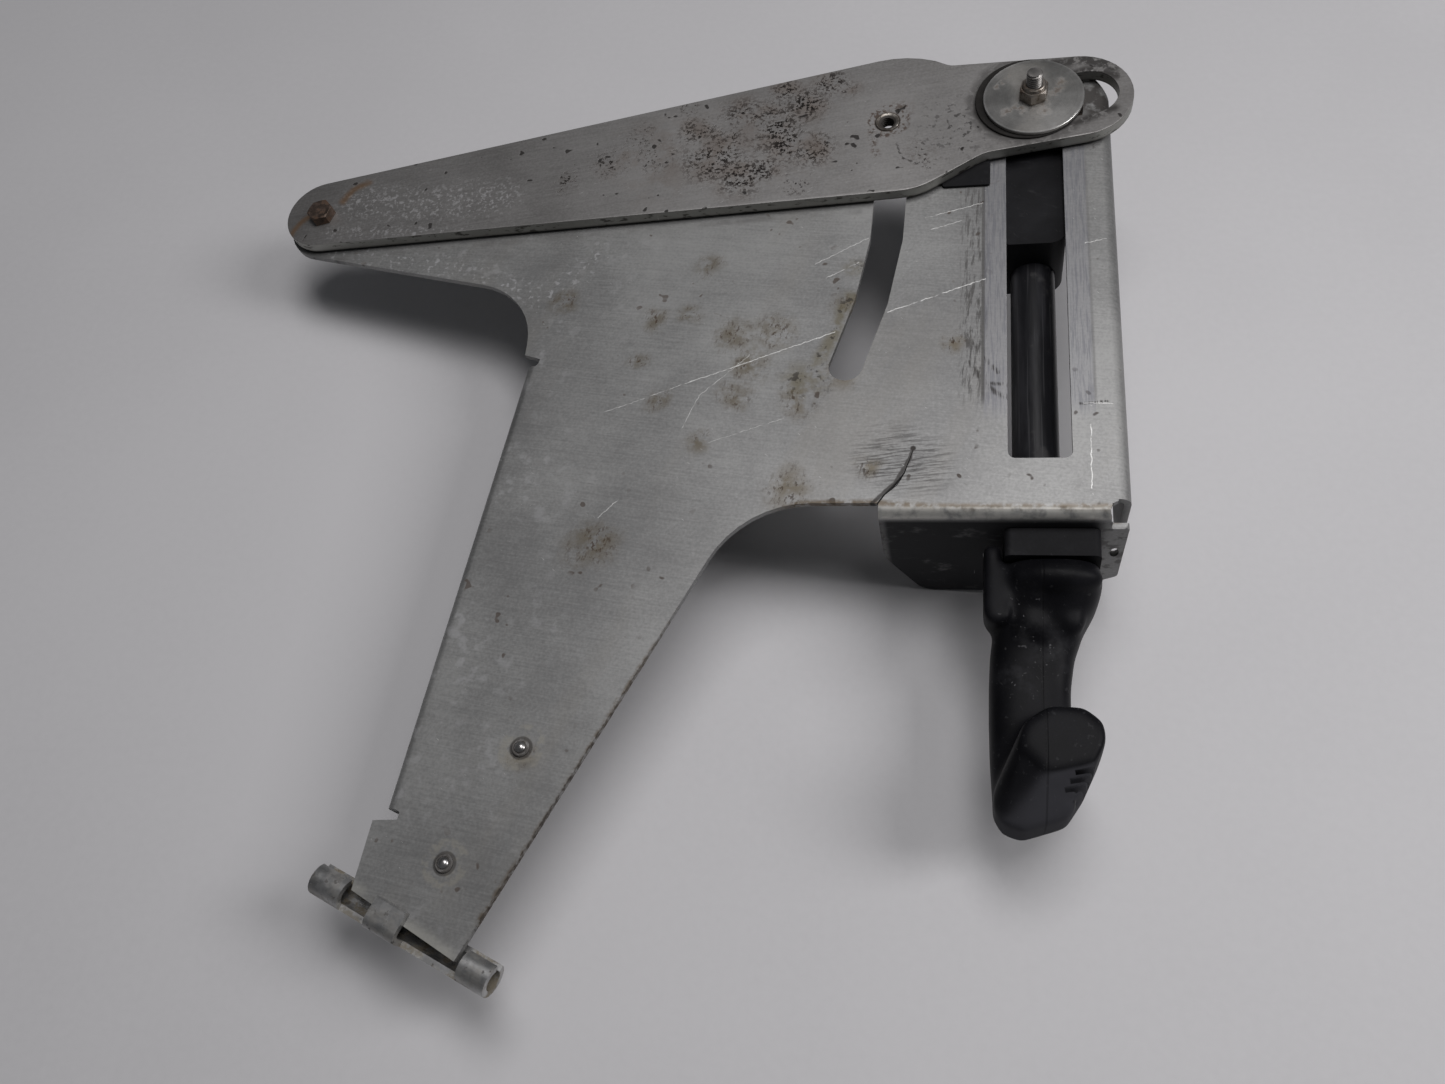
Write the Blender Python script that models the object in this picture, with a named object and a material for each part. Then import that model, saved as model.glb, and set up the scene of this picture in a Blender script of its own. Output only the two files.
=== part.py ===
"""Gate opener arm: a Y-shaped folded sheet bracket, a flat lever on a pivot bolt, and a hand grip
whose rod slides a pin along the bracket's window and so swings the lever.

Driving dimensions are in millimetres about the pivot bolt: X along the bracket's width, Y away
from the grip, Z out of the plate's upper face. place() moves the whole onto the row frame.
"""

import math

import bmesh
import bpy
from mathutils import Matrix, Vector

MM = 0.001
ROW_SHIFT = (-206.76, 155.21, 82.0)
ARC_STEP = math.radians(9.0)
COARSE_STEP = math.radians(16.0)
GAP = 0.15

SHEET = 3.0
BEND_R = 6.0
RIGHT_FACE = 425.3
FRONT_FACE = -184.2
WAIST_X = 311.0
FLANGE_LEFT = 317.0
TOP_EDGE = 70.0
SHOULDER_X = 300.0
SIDE_FLANGE_DEPTH = 45.0
FRONT_FLANGE_DEPTH = 82.0
LEG_FLANGE_DEPTH = 53.0
LEG_BEND_R = 5.0
TIP_R = 22.5
PIVOT_HOLE_R = 4.3
M8_R = 4.0
M8_HEX = 13.0
M8_HEAD = 5.3
M8_NUT = 8.0

WINDOW_X = (373.3, 401.2)
WINDOW_Y = (-155.7, 66.0)
WINDOW_CORNER = 3.5
ARC_SLOT_R = 316.4
ARC_SLOT_HALF = 8.2
ARC_SLOT_FROM = math.radians(8.6)
ARC_SLOT_TO = math.radians(-19.3)

LEVER_Z = (1.8, 7.8)
LEVER_END_R = 22.4
LEVER_TIP = (409.0, 51.0, 27.0)
LEVER_HOLE = (313.4, 41.5)
SLOT_R = 14.5
SLOT_ANGLE = math.radians(7.2)
SLOT_REACH = (379.0, 417.6)
PIN = (386.9, 49.4)
DISC_R = 25.0
RUB_WASHER_R = 27.0
RUB_WASHER_AT = (384.9, 50.2)
RUB_WASHER_BORE_R = 6.6
ROLLER_R = 13.25

ROD_AXIS = (387.0, -30.0)
ROD_R = 10.9
ROD_END_Y = -185.2
ROD_HOLE_R = 11.5
CARRIER_END_Y = -33.0
FOOT_RIGHT = (156.5, -385.0)
GRIP_SEAM_X = 388.0

HINGE_START = (85.7, -354.8)
HINGE_DIR = math.radians(-22.0)
HINGE_LENGTH = 93.0
HINGE_AXIS = (1.0, -7.6)
HINGE_BORE_R = 4.3
HINGE_OUTER_R = 7.0
KNUCKLES = ((0.0, 16.0), (33.5, 49.5), (79.0, 93.0))
LEAF_Z = (-5.9, -3.2)
RIVETS = ((169.2, -296.9), (144.5, -347.3))

MATERIALS = {
    "bracket_sheet": ((0.52, 0.52, 0.53), 0.9, 0.42),
    "lever_plate": ((0.47, 0.46, 0.46), 0.9, 0.45),
    "hinge_sheet": ((0.42, 0.41, 0.39), 0.9, 0.5),
    "fastener_steel": ((0.55, 0.53, 0.5), 1.0, 0.32),
    "disc_steel": ((0.6, 0.59, 0.58), 1.0, 0.3),
    "rusty_bolt": ((0.27, 0.2, 0.15), 0.7, 0.6),
    "black_plastic": ((0.03, 0.03, 0.035), 0.0, 0.5),
    "rod_sleeve": ((0.035, 0.035, 0.04), 0.0, 0.4),
    "black_rubber": ((0.025, 0.025, 0.027), 0.0, 0.65),
    "bush_plastic": ((0.5, 0.49, 0.46), 0.0, 0.5),
}


def clear_scene():
    for obj in list(bpy.data.objects):
        bpy.data.objects.remove(obj, do_unlink=True)


def material(name):
    found = bpy.data.materials.get(name)
    if found:
        return found
    colour, metallic, roughness = MATERIALS[name]
    made = bpy.data.materials.new(name)
    made.use_nodes = True
    shader = made.node_tree.nodes["Principled BSDF"]
    shader.inputs["Base Color"].default_value = (*colour, 1.0)
    shader.inputs["Metallic"].default_value = metallic
    shader.inputs["Roughness"].default_value = roughness
    made.diffuse_color = (*colour, 1.0)
    return made


def arc(centre, radius, start, end, step=ARC_STEP):
    """Points from angle start to angle end, both included."""
    steps = max(2, math.ceil(abs(end - start) / step))
    turns = [start + (end - start) * i / steps for i in range(steps + 1)]
    return [(centre[0] + radius * math.cos(a), centre[1] + radius * math.sin(a)) for a in turns]


def corner(before, at, after, radius):
    """A rounded corner at a point, between the points before and after it."""
    here = Vector(at)
    back = (Vector(before) - here).normalized()
    ahead = (Vector(after) - here).normalized()
    half = back.angle(ahead) / 2
    reach = radius / math.tan(half)
    centre = here + (back + ahead).normalized() * (radius / math.sin(half))
    first = here + back * reach - centre
    last = here + ahead * reach - centre
    start = math.atan2(first.y, first.x)
    turn = math.atan2(last.y, last.x) - start
    turn = (turn + math.pi) % (2 * math.pi) - math.pi
    return arc(tuple(centre), radius, start, start + turn)


def rounded(points, radii):
    """A closed outline with each corner rounded by its radius; 0 keeps it sharp."""
    made = []
    for i, (at, radius) in enumerate(zip(points, radii)):
        if radius:
            made += corner(points[i - 1], at, points[(i + 1) % len(points)], radius)
        else:
            made.append(at)
    return made


def sides(radius):
    """How many sides a full circle gets."""
    return 20 if radius <= 6.0 else 28 if radius <= 14.0 else 44


def circle(centre, radius, count=None):
    return ellipse(centre, radius, radius, count or sides(radius))


def ellipse(centre, across, along, count=40):
    turns = [2 * math.pi * i / count for i in range(count)]
    return [(centre[0] + across * math.cos(a), centre[1] + along * math.sin(a)) for a in turns]


def hexagon(centre, across_flats, turn=0.0):
    reach = across_flats / math.sqrt(3)
    turns = [turn + math.pi * i / 3 for i in range(6)]
    return [(centre[0] + reach * math.cos(a), centre[1] + reach * math.sin(a)) for a in turns]


def link(name, mesh_data, slot, origin=(0.0, 0.0, 0.0)):
    """Closes a bmesh given in millimetres into an object whose origin is at origin."""
    bmesh.ops.recalc_face_normals(mesh_data, faces=mesh_data.faces)
    bmesh.ops.transform(mesh_data, matrix=Matrix.Translation(-Vector(origin)), verts=mesh_data.verts)
    bmesh.ops.scale(mesh_data, vec=(MM, MM, MM), verts=mesh_data.verts)
    mesh = bpy.data.meshes.new(name)
    mesh_data.to_mesh(mesh)
    mesh_data.free()
    obj = bpy.data.objects.new(name, mesh)
    obj.location = Vector(origin) * MM
    bpy.context.scene.collection.objects.link(obj)
    if slot:
        mesh.materials.append(material(slot))
    return obj


def loft(name, rings, slot, origin=(0.0, 0.0, 0.0)):
    """A closed body through rings of equal count, each a list of (x, y, z), capped at both ends."""
    shape = bmesh.new()
    rows = [[shape.verts.new(p) for p in ring] for ring in rings]
    count = len(rows[0])
    for low, high in zip(rows, rows[1:]):
        for i in range(count):
            after = (i + 1) % count
            shape.faces.new((low[i], low[after], high[after], high[i]))
    shape.faces.new(rows[0][::-1])
    shape.faces.new(rows[-1])
    return link(name, shape, slot, origin)


def prism(name, outline, z_low, z_high, slot=None, origin=(0.0, 0.0, 0.0)):
    """An outline in XY, extruded in Z."""
    rings = [[(x, y, z) for x, y in outline] for z in (z_low, z_high)]
    return loft(name, rings, slot, origin)


def turned(name, centre, profile, slot, origin=(0.0, 0.0, 0.0)):
    """A body of circular rings about a vertical axis: profile is a list of (radius, z)."""
    count = sides(max(r for r, z in profile))
    rings = [[(x, y, z) for x, y in circle(centre, r, count)] for r, z in profile]
    return loft(name, rings, slot, origin)


def combine(obj, other, operation):
    """Applies a Boolean with other, then removes other."""
    step = obj.modifiers.new("step", "BOOLEAN")
    step.operation = operation
    step.solver = "EXACT"
    step.object = other
    bpy.context.view_layer.update()
    graph = bpy.context.evaluated_depsgraph_get()
    result = bpy.data.meshes.new_from_object(obj.evaluated_get(graph))
    obj.modifiers.clear()
    obj.data = result
    bpy.data.objects.remove(other, do_unlink=True)
    return obj


def cut(obj, *others):
    for other in others:
        combine(obj, other, "DIFFERENCE")
    return obj


def join(obj, *others):
    for other in others:
        combine(obj, other, "UNION")
    return obj


def soften(obj, width, segments=2, angle=40.0):
    """Bevels the sharper edges and applies it."""
    step = obj.modifiers.new("soften", "BEVEL")
    step.width = width * MM
    step.segments = segments
    step.limit_method = "ANGLE"
    step.angle_limit = math.radians(angle)
    bpy.context.view_layer.update()
    graph = bpy.context.evaluated_depsgraph_get()
    result = bpy.data.meshes.new_from_object(obj.evaluated_get(graph))
    obj.modifiers.clear()
    obj.data = result
    return obj


def shade(obj, angle=32.0):
    for face in obj.data.polygons:
        face.use_smooth = True
    obj.data.set_sharp_from_angle(angle=math.radians(angle))


def leg_face(y):
    """X of the leg flange's outer face at y."""
    return 136.1 + 0.1058 * (y + 98.3)


def plate_outline():
    """The flat part of the bracket, counter-clockwise from the front bend's left end."""
    front = FRONT_FACE + BEND_R
    right = RIGHT_FACE - BEND_R
    tip = arc((0.0, 0.0), TIP_R, math.radians(98.94), math.radians(256.8))
    shoulder = corner((right, TOP_EDGE), (SHOULDER_X, TOP_EDGE), tip[0], 40.0)
    block = [(WAIST_X, front), (right, front), (right, TOP_EDGE)] + shoulder
    armpit = corner((0.0, -23.1), (134.3, -54.5), (134.3, -93.0), 41.0)
    leg_top = (134.3, -93.0)
    slit = [leg_top, (143.0, -95.7), (142.4, -98.6)]
    inset = LEG_BEND_R
    left = [(leg_face(-100.0) + inset, -100.0), (leg_face(-326.0) + inset, -326.0)]
    foot = [(119.4, -327.2), (119.0, -330.4), (107.8, -331.3), (105.2, -360.6), FOOT_RIGHT]
    waist = corner(FOOT_RIGHT, (255.6, front), (WAIST_X, front), 50.0)
    return block + tip + armpit + slit + left + foot + waist


def strip(shape, low, high, outward, radius, depth, drop_outline=None):
    """A quarter bend and a wall hung from the edge low-high of the upper surface."""
    steps = 7
    rows = [[low, high]]
    for i in range(1, steps + 1):
        turn = math.pi / 2 * i / steps
        out = outward * (radius * math.sin(turn))
        down = Vector((0.0, 0.0, -radius * (1 - math.cos(turn))))
        rows.append([shape.verts.new(low.co + out + down), shape.verts.new(high.co + out + down)])
    for before, after in zip(rows, rows[1:]):
        shape.faces.new((before[0], before[1], after[1], after[0]))
    low_end, high_end = rows[-1]
    if drop_outline is None:
        fall = Vector((0.0, 0.0, radius - depth))
        drop_outline = [high_end.co + fall, low_end.co + fall]
    wall = [shape.verts.new(p) for p in drop_outline]
    shape.faces.new([low_end, high_end] + wall)


def find_vertex(shape, x, y):
    return min(shape.verts, key=lambda v: (v.co.x - x) ** 2 + (v.co.y - y) ** 2)


def front_wall_outline():
    """The front flange's edge below its bend, from the right end down and round to the left."""
    low = -FRONT_FLANGE_DEPTH
    right = RIGHT_FACE - 0.3
    points = [(right, -13.5), (right, -63.0), (419.0, -67.5), (396.0, low), (334.0, low), (FLANGE_LEFT, -44.0)]
    radii = [0.0, 4.0, 3.0, 6.0, 10.0, 30.0]
    outline = []
    for i, (at, radius) in enumerate(zip(points, radii)):
        if radius:
            after = points[i + 1] if i + 1 < len(points) else (FLANGE_LEFT, -BEND_R)
            outline += corner(points[i - 1], at, after, radius)
        else:
            outline.append(at)
    return [Vector((x, FRONT_FACE, z)) for x, z in outline]


def bracket():
    """The folded sheet: its upper and outer surface is drawn, then thickened inwards."""
    shape = bmesh.new()
    plate = [shape.verts.new((x, y, 0.0)) for x, y in plate_outline()]
    shape.faces.new(plate)
    right = RIGHT_FACE - BEND_R
    front = FRONT_FACE + BEND_R
    lowest = find_vertex(shape, right, front)
    highest = find_vertex(shape, right, TOP_EDGE)
    side_low = bmesh.utils.edge_split(shared_edge(lowest, highest), lowest, 0.008)[1]
    strip(shape, side_low, highest, Vector((1.0, 0.0, 0.0)), BEND_R, SIDE_FLANGE_DEPTH)
    corner_left = find_vertex(shape, WAIST_X, front)
    share = (FLANGE_LEFT - WAIST_X) / (right - WAIST_X)
    near = bmesh.utils.edge_split(shared_edge(corner_left, lowest), corner_left, share)[1]
    far = bmesh.utils.edge_split(shared_edge(near, lowest), near, 0.975)[1]
    down = Vector((0.0, -1.0, 0.0))
    strip(shape, near, far, down, BEND_R, FRONT_FLANGE_DEPTH, front_wall_outline())
    top = find_vertex(shape, leg_face(-100.0) + LEG_BEND_R, -100.0)
    bottom = find_vertex(shape, leg_face(-326.0) + LEG_BEND_R, -326.0)
    along = (bottom.co - top.co).normalized()
    outward = Vector((along.y, -along.x, 0.0))
    strip(shape, top, bottom, outward, LEG_BEND_R, LEG_FLANGE_DEPTH, leg_wall_outline(top, bottom, outward))
    bmesh.ops.recalc_face_normals(shape, faces=shape.faces)
    thicken(shape)
    body = link("bracket", shape, "bracket_sheet")
    cut(body, *bracket_cutters())
    shade(body)
    return body


def shared_edge(first, second):
    return next(e for e in first.link_edges if e.other_vert(first) == second)


def leg_wall_outline(top, bottom, outward):
    """The leg flange's lower edge, with both ends chamfered."""
    along = (bottom.co - top.co).normalized()
    reach = (bottom.co - top.co).length
    stations = [(reach, -0.45), (reach - 16.0, -1.0), (14.0, -1.0), (0.0, -0.5)]
    face = top.co + outward * LEG_BEND_R
    return [face + along * s + Vector((0.0, 0.0, LEG_FLANGE_DEPTH * k)) for s, k in stations]


def thicken(shape):
    """Gives the outer surface its sheet thickness on the inner side."""
    mesh = bpy.data.meshes.new("surface")
    shape.to_mesh(mesh)
    obj = bpy.data.objects.new("surface", mesh)
    bpy.context.scene.collection.objects.link(obj)
    up = max(mesh.polygons, key=lambda face: face.area).normal.z
    step = obj.modifiers.new("thickness", "SOLIDIFY")
    step.thickness = SHEET
    step.offset = -1.0 if up > 0 else 1.0
    step.use_even_offset = True
    bpy.context.view_layer.update()
    graph = bpy.context.evaluated_depsgraph_get()
    solid = bpy.data.meshes.new_from_object(obj.evaluated_get(graph))
    shape.clear()
    shape.from_mesh(solid)
    bpy.data.objects.remove(obj, do_unlink=True)


def arc_slot_outline():
    """The curved slot: two arcs about the pivot with round ends."""
    low, high = ARC_SLOT_TO, ARC_SLOT_FROM
    outer = arc((0.0, 0.0), ARC_SLOT_R + ARC_SLOT_HALF, low, high)
    inner = arc((0.0, 0.0), ARC_SLOT_R - ARC_SLOT_HALF, high, low)
    high_end = (ARC_SLOT_R * math.cos(high), ARC_SLOT_R * math.sin(high))
    low_end = (ARC_SLOT_R * math.cos(low), ARC_SLOT_R * math.sin(low))
    high_cap = arc(high_end, ARC_SLOT_HALF, high, high + math.pi)[1:-1]
    low_cap = arc(low_end, ARC_SLOT_HALF, low + math.pi, low + 2 * math.pi)[1:-1]
    return outer + high_cap + inner + low_cap


def window_outline():
    (x0, x1), (y0, y1) = WINDOW_X, WINDOW_Y
    return rounded([(x0, y0), (x1, y0), (x1, y1), (x0, y1)], [WINDOW_CORNER] * 4)


def y_cylinder(name, x, z, radius, y_low, y_high, slot=None, origin=(0.0, 0.0, 0.0)):
    rings = [[(a, y, b) for a, b in circle((x, z), radius)] for y in (y_low, y_high)]
    return loft(name, rings, slot, origin)


def crack_outline():
    """The tear that runs into the plate from the front flange's inner corner."""
    path = [(314.5, -182.0), (319.5, -174.0), (324.5, -168.8), (328.0, -163.0), (330.2, -156.0), (331.6, -151.0)]
    half = [0.3, 0.35, 0.8, 0.25, 0.2, 0.12]
    one_side = [(x - w, y + w * 0.5) for (x, y), w in zip(path, half)]
    other_side = [(x + w, y - w * 0.5) for (x, y), w in zip(path, half)]
    return one_side + other_side[::-1]


def bracket_cutters():
    above, below = 1.0, -SHEET - 1.0
    chamfer = [(431.0, 48.2), (431.0, 80.0), (411.7, 80.0)]
    front_hole = [(x, FRONT_FACE - 2.0, z) for x, z in ellipse((421.0, -37.0), 2.0, 4.4, 20)]
    front_hole_back = [(x, FRONT_FACE + SHEET + 1.0, z) for x, _, z in front_hole]
    return [
        prism("cut_window", window_outline(), below, above),
        prism("cut_arc_slot", arc_slot_outline(), below, above),
        prism("cut_pivot", circle((0.0, 0.0), PIVOT_HOLE_R), below, above),
        prism("cut_relief", circle((420.3, -181.2), 4.2), -13.0, above),
        prism("cut_chamfer", chamfer, -SIDE_FLANGE_DEPTH - 1.0, above),
        prism("cut_crack", crack_outline(), below, above),
        prism("cut_rivet_0", circle(RIVETS[0], 2.7), below, above),
        prism("cut_rivet_1", circle(RIVETS[1], 2.7), below, above),
        y_cylinder("cut_rod", *ROD_AXIS, ROD_HOLE_R, FRONT_FACE - 2.0, FRONT_FACE + SHEET + 2.0),
        loft("cut_front_hole", [front_hole, front_hole_back], None),
    ]


def hinge_point(along, out, z):
    """A point along the hinge from its left end, out from the end of the plate, at height z."""
    c, s = math.cos(HINGE_DIR), math.sin(HINGE_DIR)
    x0, y0 = HINGE_START
    return (x0 + along * c + out * s, y0 + along * s - out * c, z)


def hinge_bar(name, section, low, high):
    """A section in (out, z), extruded along the hinge."""
    rings = [[hinge_point(s, u, z) for u, z in section] for s in (low, high)]
    return loft(name, rings, None)


def ring_section(start, end):
    """A slice of the rolled sheet about the hinge's axis."""
    a, b = math.radians(start), math.radians(end)
    outer = arc(HINGE_AXIS, HINGE_OUTER_R, a, b, COARSE_STEP)
    return outer + arc(HINGE_AXIS, HINGE_BORE_R, b, a, COARSE_STEP)


def hooked_section():
    """The middle knuckle: it rises past the plate's end and folds down onto the plate's face."""
    u, z = HINGE_AXIS
    outer_r, inner_r = HINGE_OUTER_R, HINGE_BORE_R
    crown = 3.0
    lap = -5.6
    outer = arc((u, z), outer_r, math.radians(-60), 0.0)
    fold = arc((u + outer_r - 4.6, crown - 4.6), 4.6, 0.0, math.radians(90))
    under = arc((u + outer_r - 4.6, crown - 4.6), 4.6 - outer_r + inner_r, math.radians(90), 0.0)
    inner = arc((u, z), inner_r, 0.0, math.radians(-60))
    tip = [(lap + 0.6, crown), (lap, crown - 0.6), (lap, crown - outer_r + inner_r)]
    return outer + fold + tip + under + inner


def leaf_outline():
    """The flat leaf under the leg, inside the leg's outline."""
    inner = hinge_point(22.0, -9.0, 0.0)[:2]
    outer = hinge_point(72.5, -9.0, 0.0)[:2]
    up = (0.4321, 0.9018)
    right_top = (outer[0] + up[0] * 100.0, outer[1] + up[1] * 100.0)
    left_top = (right_top[0] - 38.0, right_top[1] + 14.0)
    left_low = (inner[0] + 14.0, inner[1] + 24.0)
    return rounded([inner, outer, right_top, left_top, left_low], [0, 0, 8, 8, 12])


def hinge_leaf():
    leaf = prism("hinge_leaf", leaf_outline(), *LEAF_Z, "hinge_sheet")
    z_low, z_high = LEAF_Z
    u, z = HINGE_AXIS
    joggle = [(-12.0, z_high), (-12.0, z_low), (-9.5, z_low), (u - 5.6, z - 4.2), (u - 3.0, z - 3.2)]
    joggle += [(-3.9, z), (-8.6, z_high)]
    slope = hinge_bar("slope", joggle, 24.0, 71.0)
    gutter = hinge_bar("gutter", ring_section(-165.0, 8.0), 0.15, HINGE_LENGTH - 0.15)
    eyes = [hinge_bar(f"eye{i}", ring_section(-170.0, 150.0), *KNUCKLES[i]) for i in (0, 2)]
    hook = hinge_bar("hook", hooked_section(), *KNUCKLES[1])
    join(leaf, slope, gutter, *eyes, hook)
    bore = [(u + HINGE_BORE_R * math.cos(a), z + HINGE_BORE_R * math.sin(a)) for a in turns_of(24)]
    cut(leaf, hinge_bar("bore", bore, -2.0, HINGE_LENGTH + 2.0))
    for i, at in enumerate(RIVETS):
        cut(leaf, prism(f"rivet_hole_{i}", circle(at, 2.7), z_low - 1.0, z_high + 1.0))
    shade(leaf)
    return leaf


def turns_of(count):
    return [2 * math.pi * i / count for i in range(count)]


def rivet(name, at):
    """A blind rivet: a rolled collar and a domed mandrel above, a flat head below."""
    low = LEAF_Z[0]
    head = [(4.6, low - 1.6), (4.9, low - 1.0), (4.9, low - GAP), (2.5, low - GAP)]
    collar = [(2.5, GAP), (3.9, GAP), (4.0, 0.9), (3.6, 1.35), (2.9, 1.35), (2.75, 1.0)]
    dome = [(2.6, 1.0), (2.3, 1.9), (1.5, 2.5), (0.5, 2.75)]
    made = turned(name, at, head + collar + dome, "fastener_steel")
    shade(made, 50)
    return made


def pivot_bolt():
    """Hex bolt through the lever and the bracket, with its shank."""
    top = LEVER_Z[1] + GAP
    bolt = prism("pivot_bolt", hexagon((0.0, 0.0), M8_HEX, 0.25), top, top + M8_HEAD, "rusty_bolt")
    crown = [(10.6, top - 1.0), (10.6, top + 3.4), (6.2, top + M8_HEAD), (5.9, top + M8_HEAD + 0.3)]
    trim = turned("trim", (0.0, 0.0), crown, None)
    combine(bolt, trim, "INTERSECT")
    shank = turned("shank", (0.0, 0.0), [(3.4, -17.5), (M8_R, -16.9), (M8_R, top + 1.0)], None)
    join(bolt, shank)
    shade(bolt)
    return bolt


def nyloc(name, at, z_low, slot, origin=(0.0, 0.0, 0.0), turn=0.0):
    """A locking nut: a hexagon below and a round collar above."""
    nut = prism(name, hexagon(at, M8_HEX, turn), z_low, z_low + 6.2, slot, origin)
    shape = [(6.6, z_low - 1.0), (7.5, z_low + 0.9), (7.5, z_low + 5.2), (6.4, z_low + 6.4)]
    combine(nut, turned("trim", at, shape, None), "INTERSECT")
    collar = [(6.1, z_low + 5.0), (6.0, z_low + 6.6), (5.7, z_low + 7.6), (5.2, z_low + M8_NUT)]
    join(nut, turned("collar", at, collar, None))
    cut(nut, turned("thread_hole", at, [(M8_R + GAP, z_low - 1.0), (M8_R + GAP, z_low + 9.0)], None))
    shade(nut)
    return nut


def washer(name, at, outer_r, inner_r, z_low, z_high, slot, origin=(0.0, 0.0, 0.0)):
    edge = min(0.25, (z_high - z_low) / 4)
    rim = [(outer_r - edge, z_low), (outer_r, z_low + edge), (outer_r, z_high - edge)]
    ring = turned(name, at, rim + [(outer_r - edge, z_high)], slot, origin)
    cut(ring, turned("hole", at, [(inner_r, z_low - 1.0), (inner_r, z_high + 1.0)], None))
    shade(ring)
    return ring


def lever_outline():
    """Round pivot end, straight top to a low hump, round slotted end, ogee back to the lower edge."""
    x, y, r = LEVER_TIP
    tip = arc((x, y), r, math.radians(-81.0), math.radians(90.0))
    step = corner((380.0, y + r), (345.0, y + r + 0.4), (335.0, 83.6), 9.0)
    hump = corner((345.0, 79.5), (322.5, 88.7), (300.0, 84.3), 52.0)
    pivot = arc((0.0, 2.0), LEVER_END_R, math.radians(101.2), math.radians(272.7))
    rise = corner((300.0, -6.2), (330.0, -4.8), (362.0, 16.5), 34.0)
    ease = corner((330.0, -4.8), (362.5, 16.4), (409.0, 23.6), 20.0)
    return tip + step + hump + pivot + rise + ease


def slot_outline():
    """The long slot, aimed at the pivot."""
    ends = [(r * math.cos(SLOT_ANGLE), r * math.sin(SLOT_ANGLE)) for r in SLOT_REACH]
    quarter = math.pi / 2
    near = arc(ends[0], SLOT_R, SLOT_ANGLE + quarter, SLOT_ANGLE + 3 * quarter)
    far = arc(ends[1], SLOT_R, SLOT_ANGLE - quarter, SLOT_ANGLE + quarter)
    return near + far


def lever():
    z_low, z_high = LEVER_Z
    plate = prism("lever", lever_outline(), z_low, z_high, "lever_plate")
    cut(
        plate,
        prism("cut_slot", slot_outline(), z_low - 1.0, z_high + 1.0),
        prism("cut_pivot", circle((0.0, 0.0), PIVOT_HOLE_R), z_low - 1.0, z_high + 1.0),
        prism("cut_insert", circle(LEVER_HOLE, 6.4), z_low - 1.0, z_high + 1.0),
    )
    soften(plate, 0.5, 2)
    shade(plate)
    return plate


def insert():
    """The threaded bush pressed into the lever."""
    z_low, z_high = LEVER_Z
    profile = [(6.25, z_low + 0.1), (6.25, z_high + 0.1), (5.9, z_high + 0.45)]
    bush = turned("threaded_insert", LEVER_HOLE, profile, "fastener_steel")
    bore = [(4.6, z_low - 1.0), (4.6, z_high - 0.4), (5.2, z_high + 0.5)]
    cut(bush, turned("bore", LEVER_HOLE, bore, None))
    shade(bush)
    return bush


def glide_pad():
    outline = rounded([(342.0, 1.2), (365.6, 1.2), (365.6, 22.0), (342.0, 22.0)], [1.5] * 4)
    pad = prism("glide_pad", outline, 0.3, LEVER_Z[0] - GAP, "black_plastic")
    shade(pad)
    return pad


def pin_centre():
    return (PIN[0], PIN[1], 0.0)


def carrier():
    """The moulded block under the plate that joins the rod to the pin, with a boss in the window."""
    y0 = CARRIER_END_Y
    x0, x1 = WINDOW_X[0] + 0.2, WINDOW_X[1] + 1.2
    outline = rounded([(x0, y0), (x1, y0), (x1, 68.0), (x0, 68.0)], [1.5, 8.5, 4.0, 4.0])
    block = prism("carrier", outline, -43.0, -SHEET - 1.0, "black_plastic", pin_centre())
    x0, x1 = WINDOW_X[0] + 0.25, WINDOW_X[1] - 0.25
    boss = rounded([(x0, 30.0), (x1, 30.0), (x1, 64.5), (x0, 64.5)], [3.0, 3.0, 4.0, 4.0])
    join(block, prism("boss", boss, -SHEET - 2.0, -0.5))
    x, z = ROD_AXIS
    cut(
        block,
        y_cylinder("rod_hole", x, z, ROD_R + GAP, y0 - 5.0, y0 + 16.0),
        turned("stud_hole", PIN, [(M8_R + GAP, -26.0), (M8_R + GAP, 1.0)], None),
    )
    soften(block, 0.6, 1, 60)
    shade(block)
    return block


def rod():
    x, z = ROD_AXIS
    made = y_cylinder("rod_sleeve", x, z, ROD_R, ROD_END_Y - 14.0, CARRIER_END_Y + 15.7, "rod_sleeve", pin_centre())
    shade(made)
    return made


def stud():
    top = disc_top() + 15.2
    profile = [(M8_R, -25.5), (M8_R, top - 0.8), (M8_R - 0.8, top)]
    made = turned("slide_stud", PIN, profile, "fastener_steel", pin_centre())
    shade(made)
    return made


def disc_top():
    return LEVER_Z[1] + 0.1 + 1.0 + 0.1 + 1.9


def slide_stack():
    """The washers, roller and nut on the stud, from the bracket's face up."""
    origin = pin_centre()
    bore = M8_R + GAP
    lower, upper = LEVER_Z
    top = disc_top()
    return [
        washer("bracket_washer", PIN, DISC_R, bore, 0.2, lower - 0.2, "disc_steel", origin),
        washer("slot_roller", PIN, ROLLER_R, bore, lower + 0.1, upper - 0.1, "bush_plastic", origin),
        washer("rub_washer", RUB_WASHER_AT, RUB_WASHER_R, RUB_WASHER_BORE_R, upper + 0.1, upper + 1.1, "bush_plastic", origin),
        washer("disc_washer", PIN, DISC_R, bore, upper + 1.2, top, "disc_steel", origin),
        nyloc("disc_nut", PIN, top + GAP, "fastener_steel", origin, 0.32),
    ]


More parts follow.
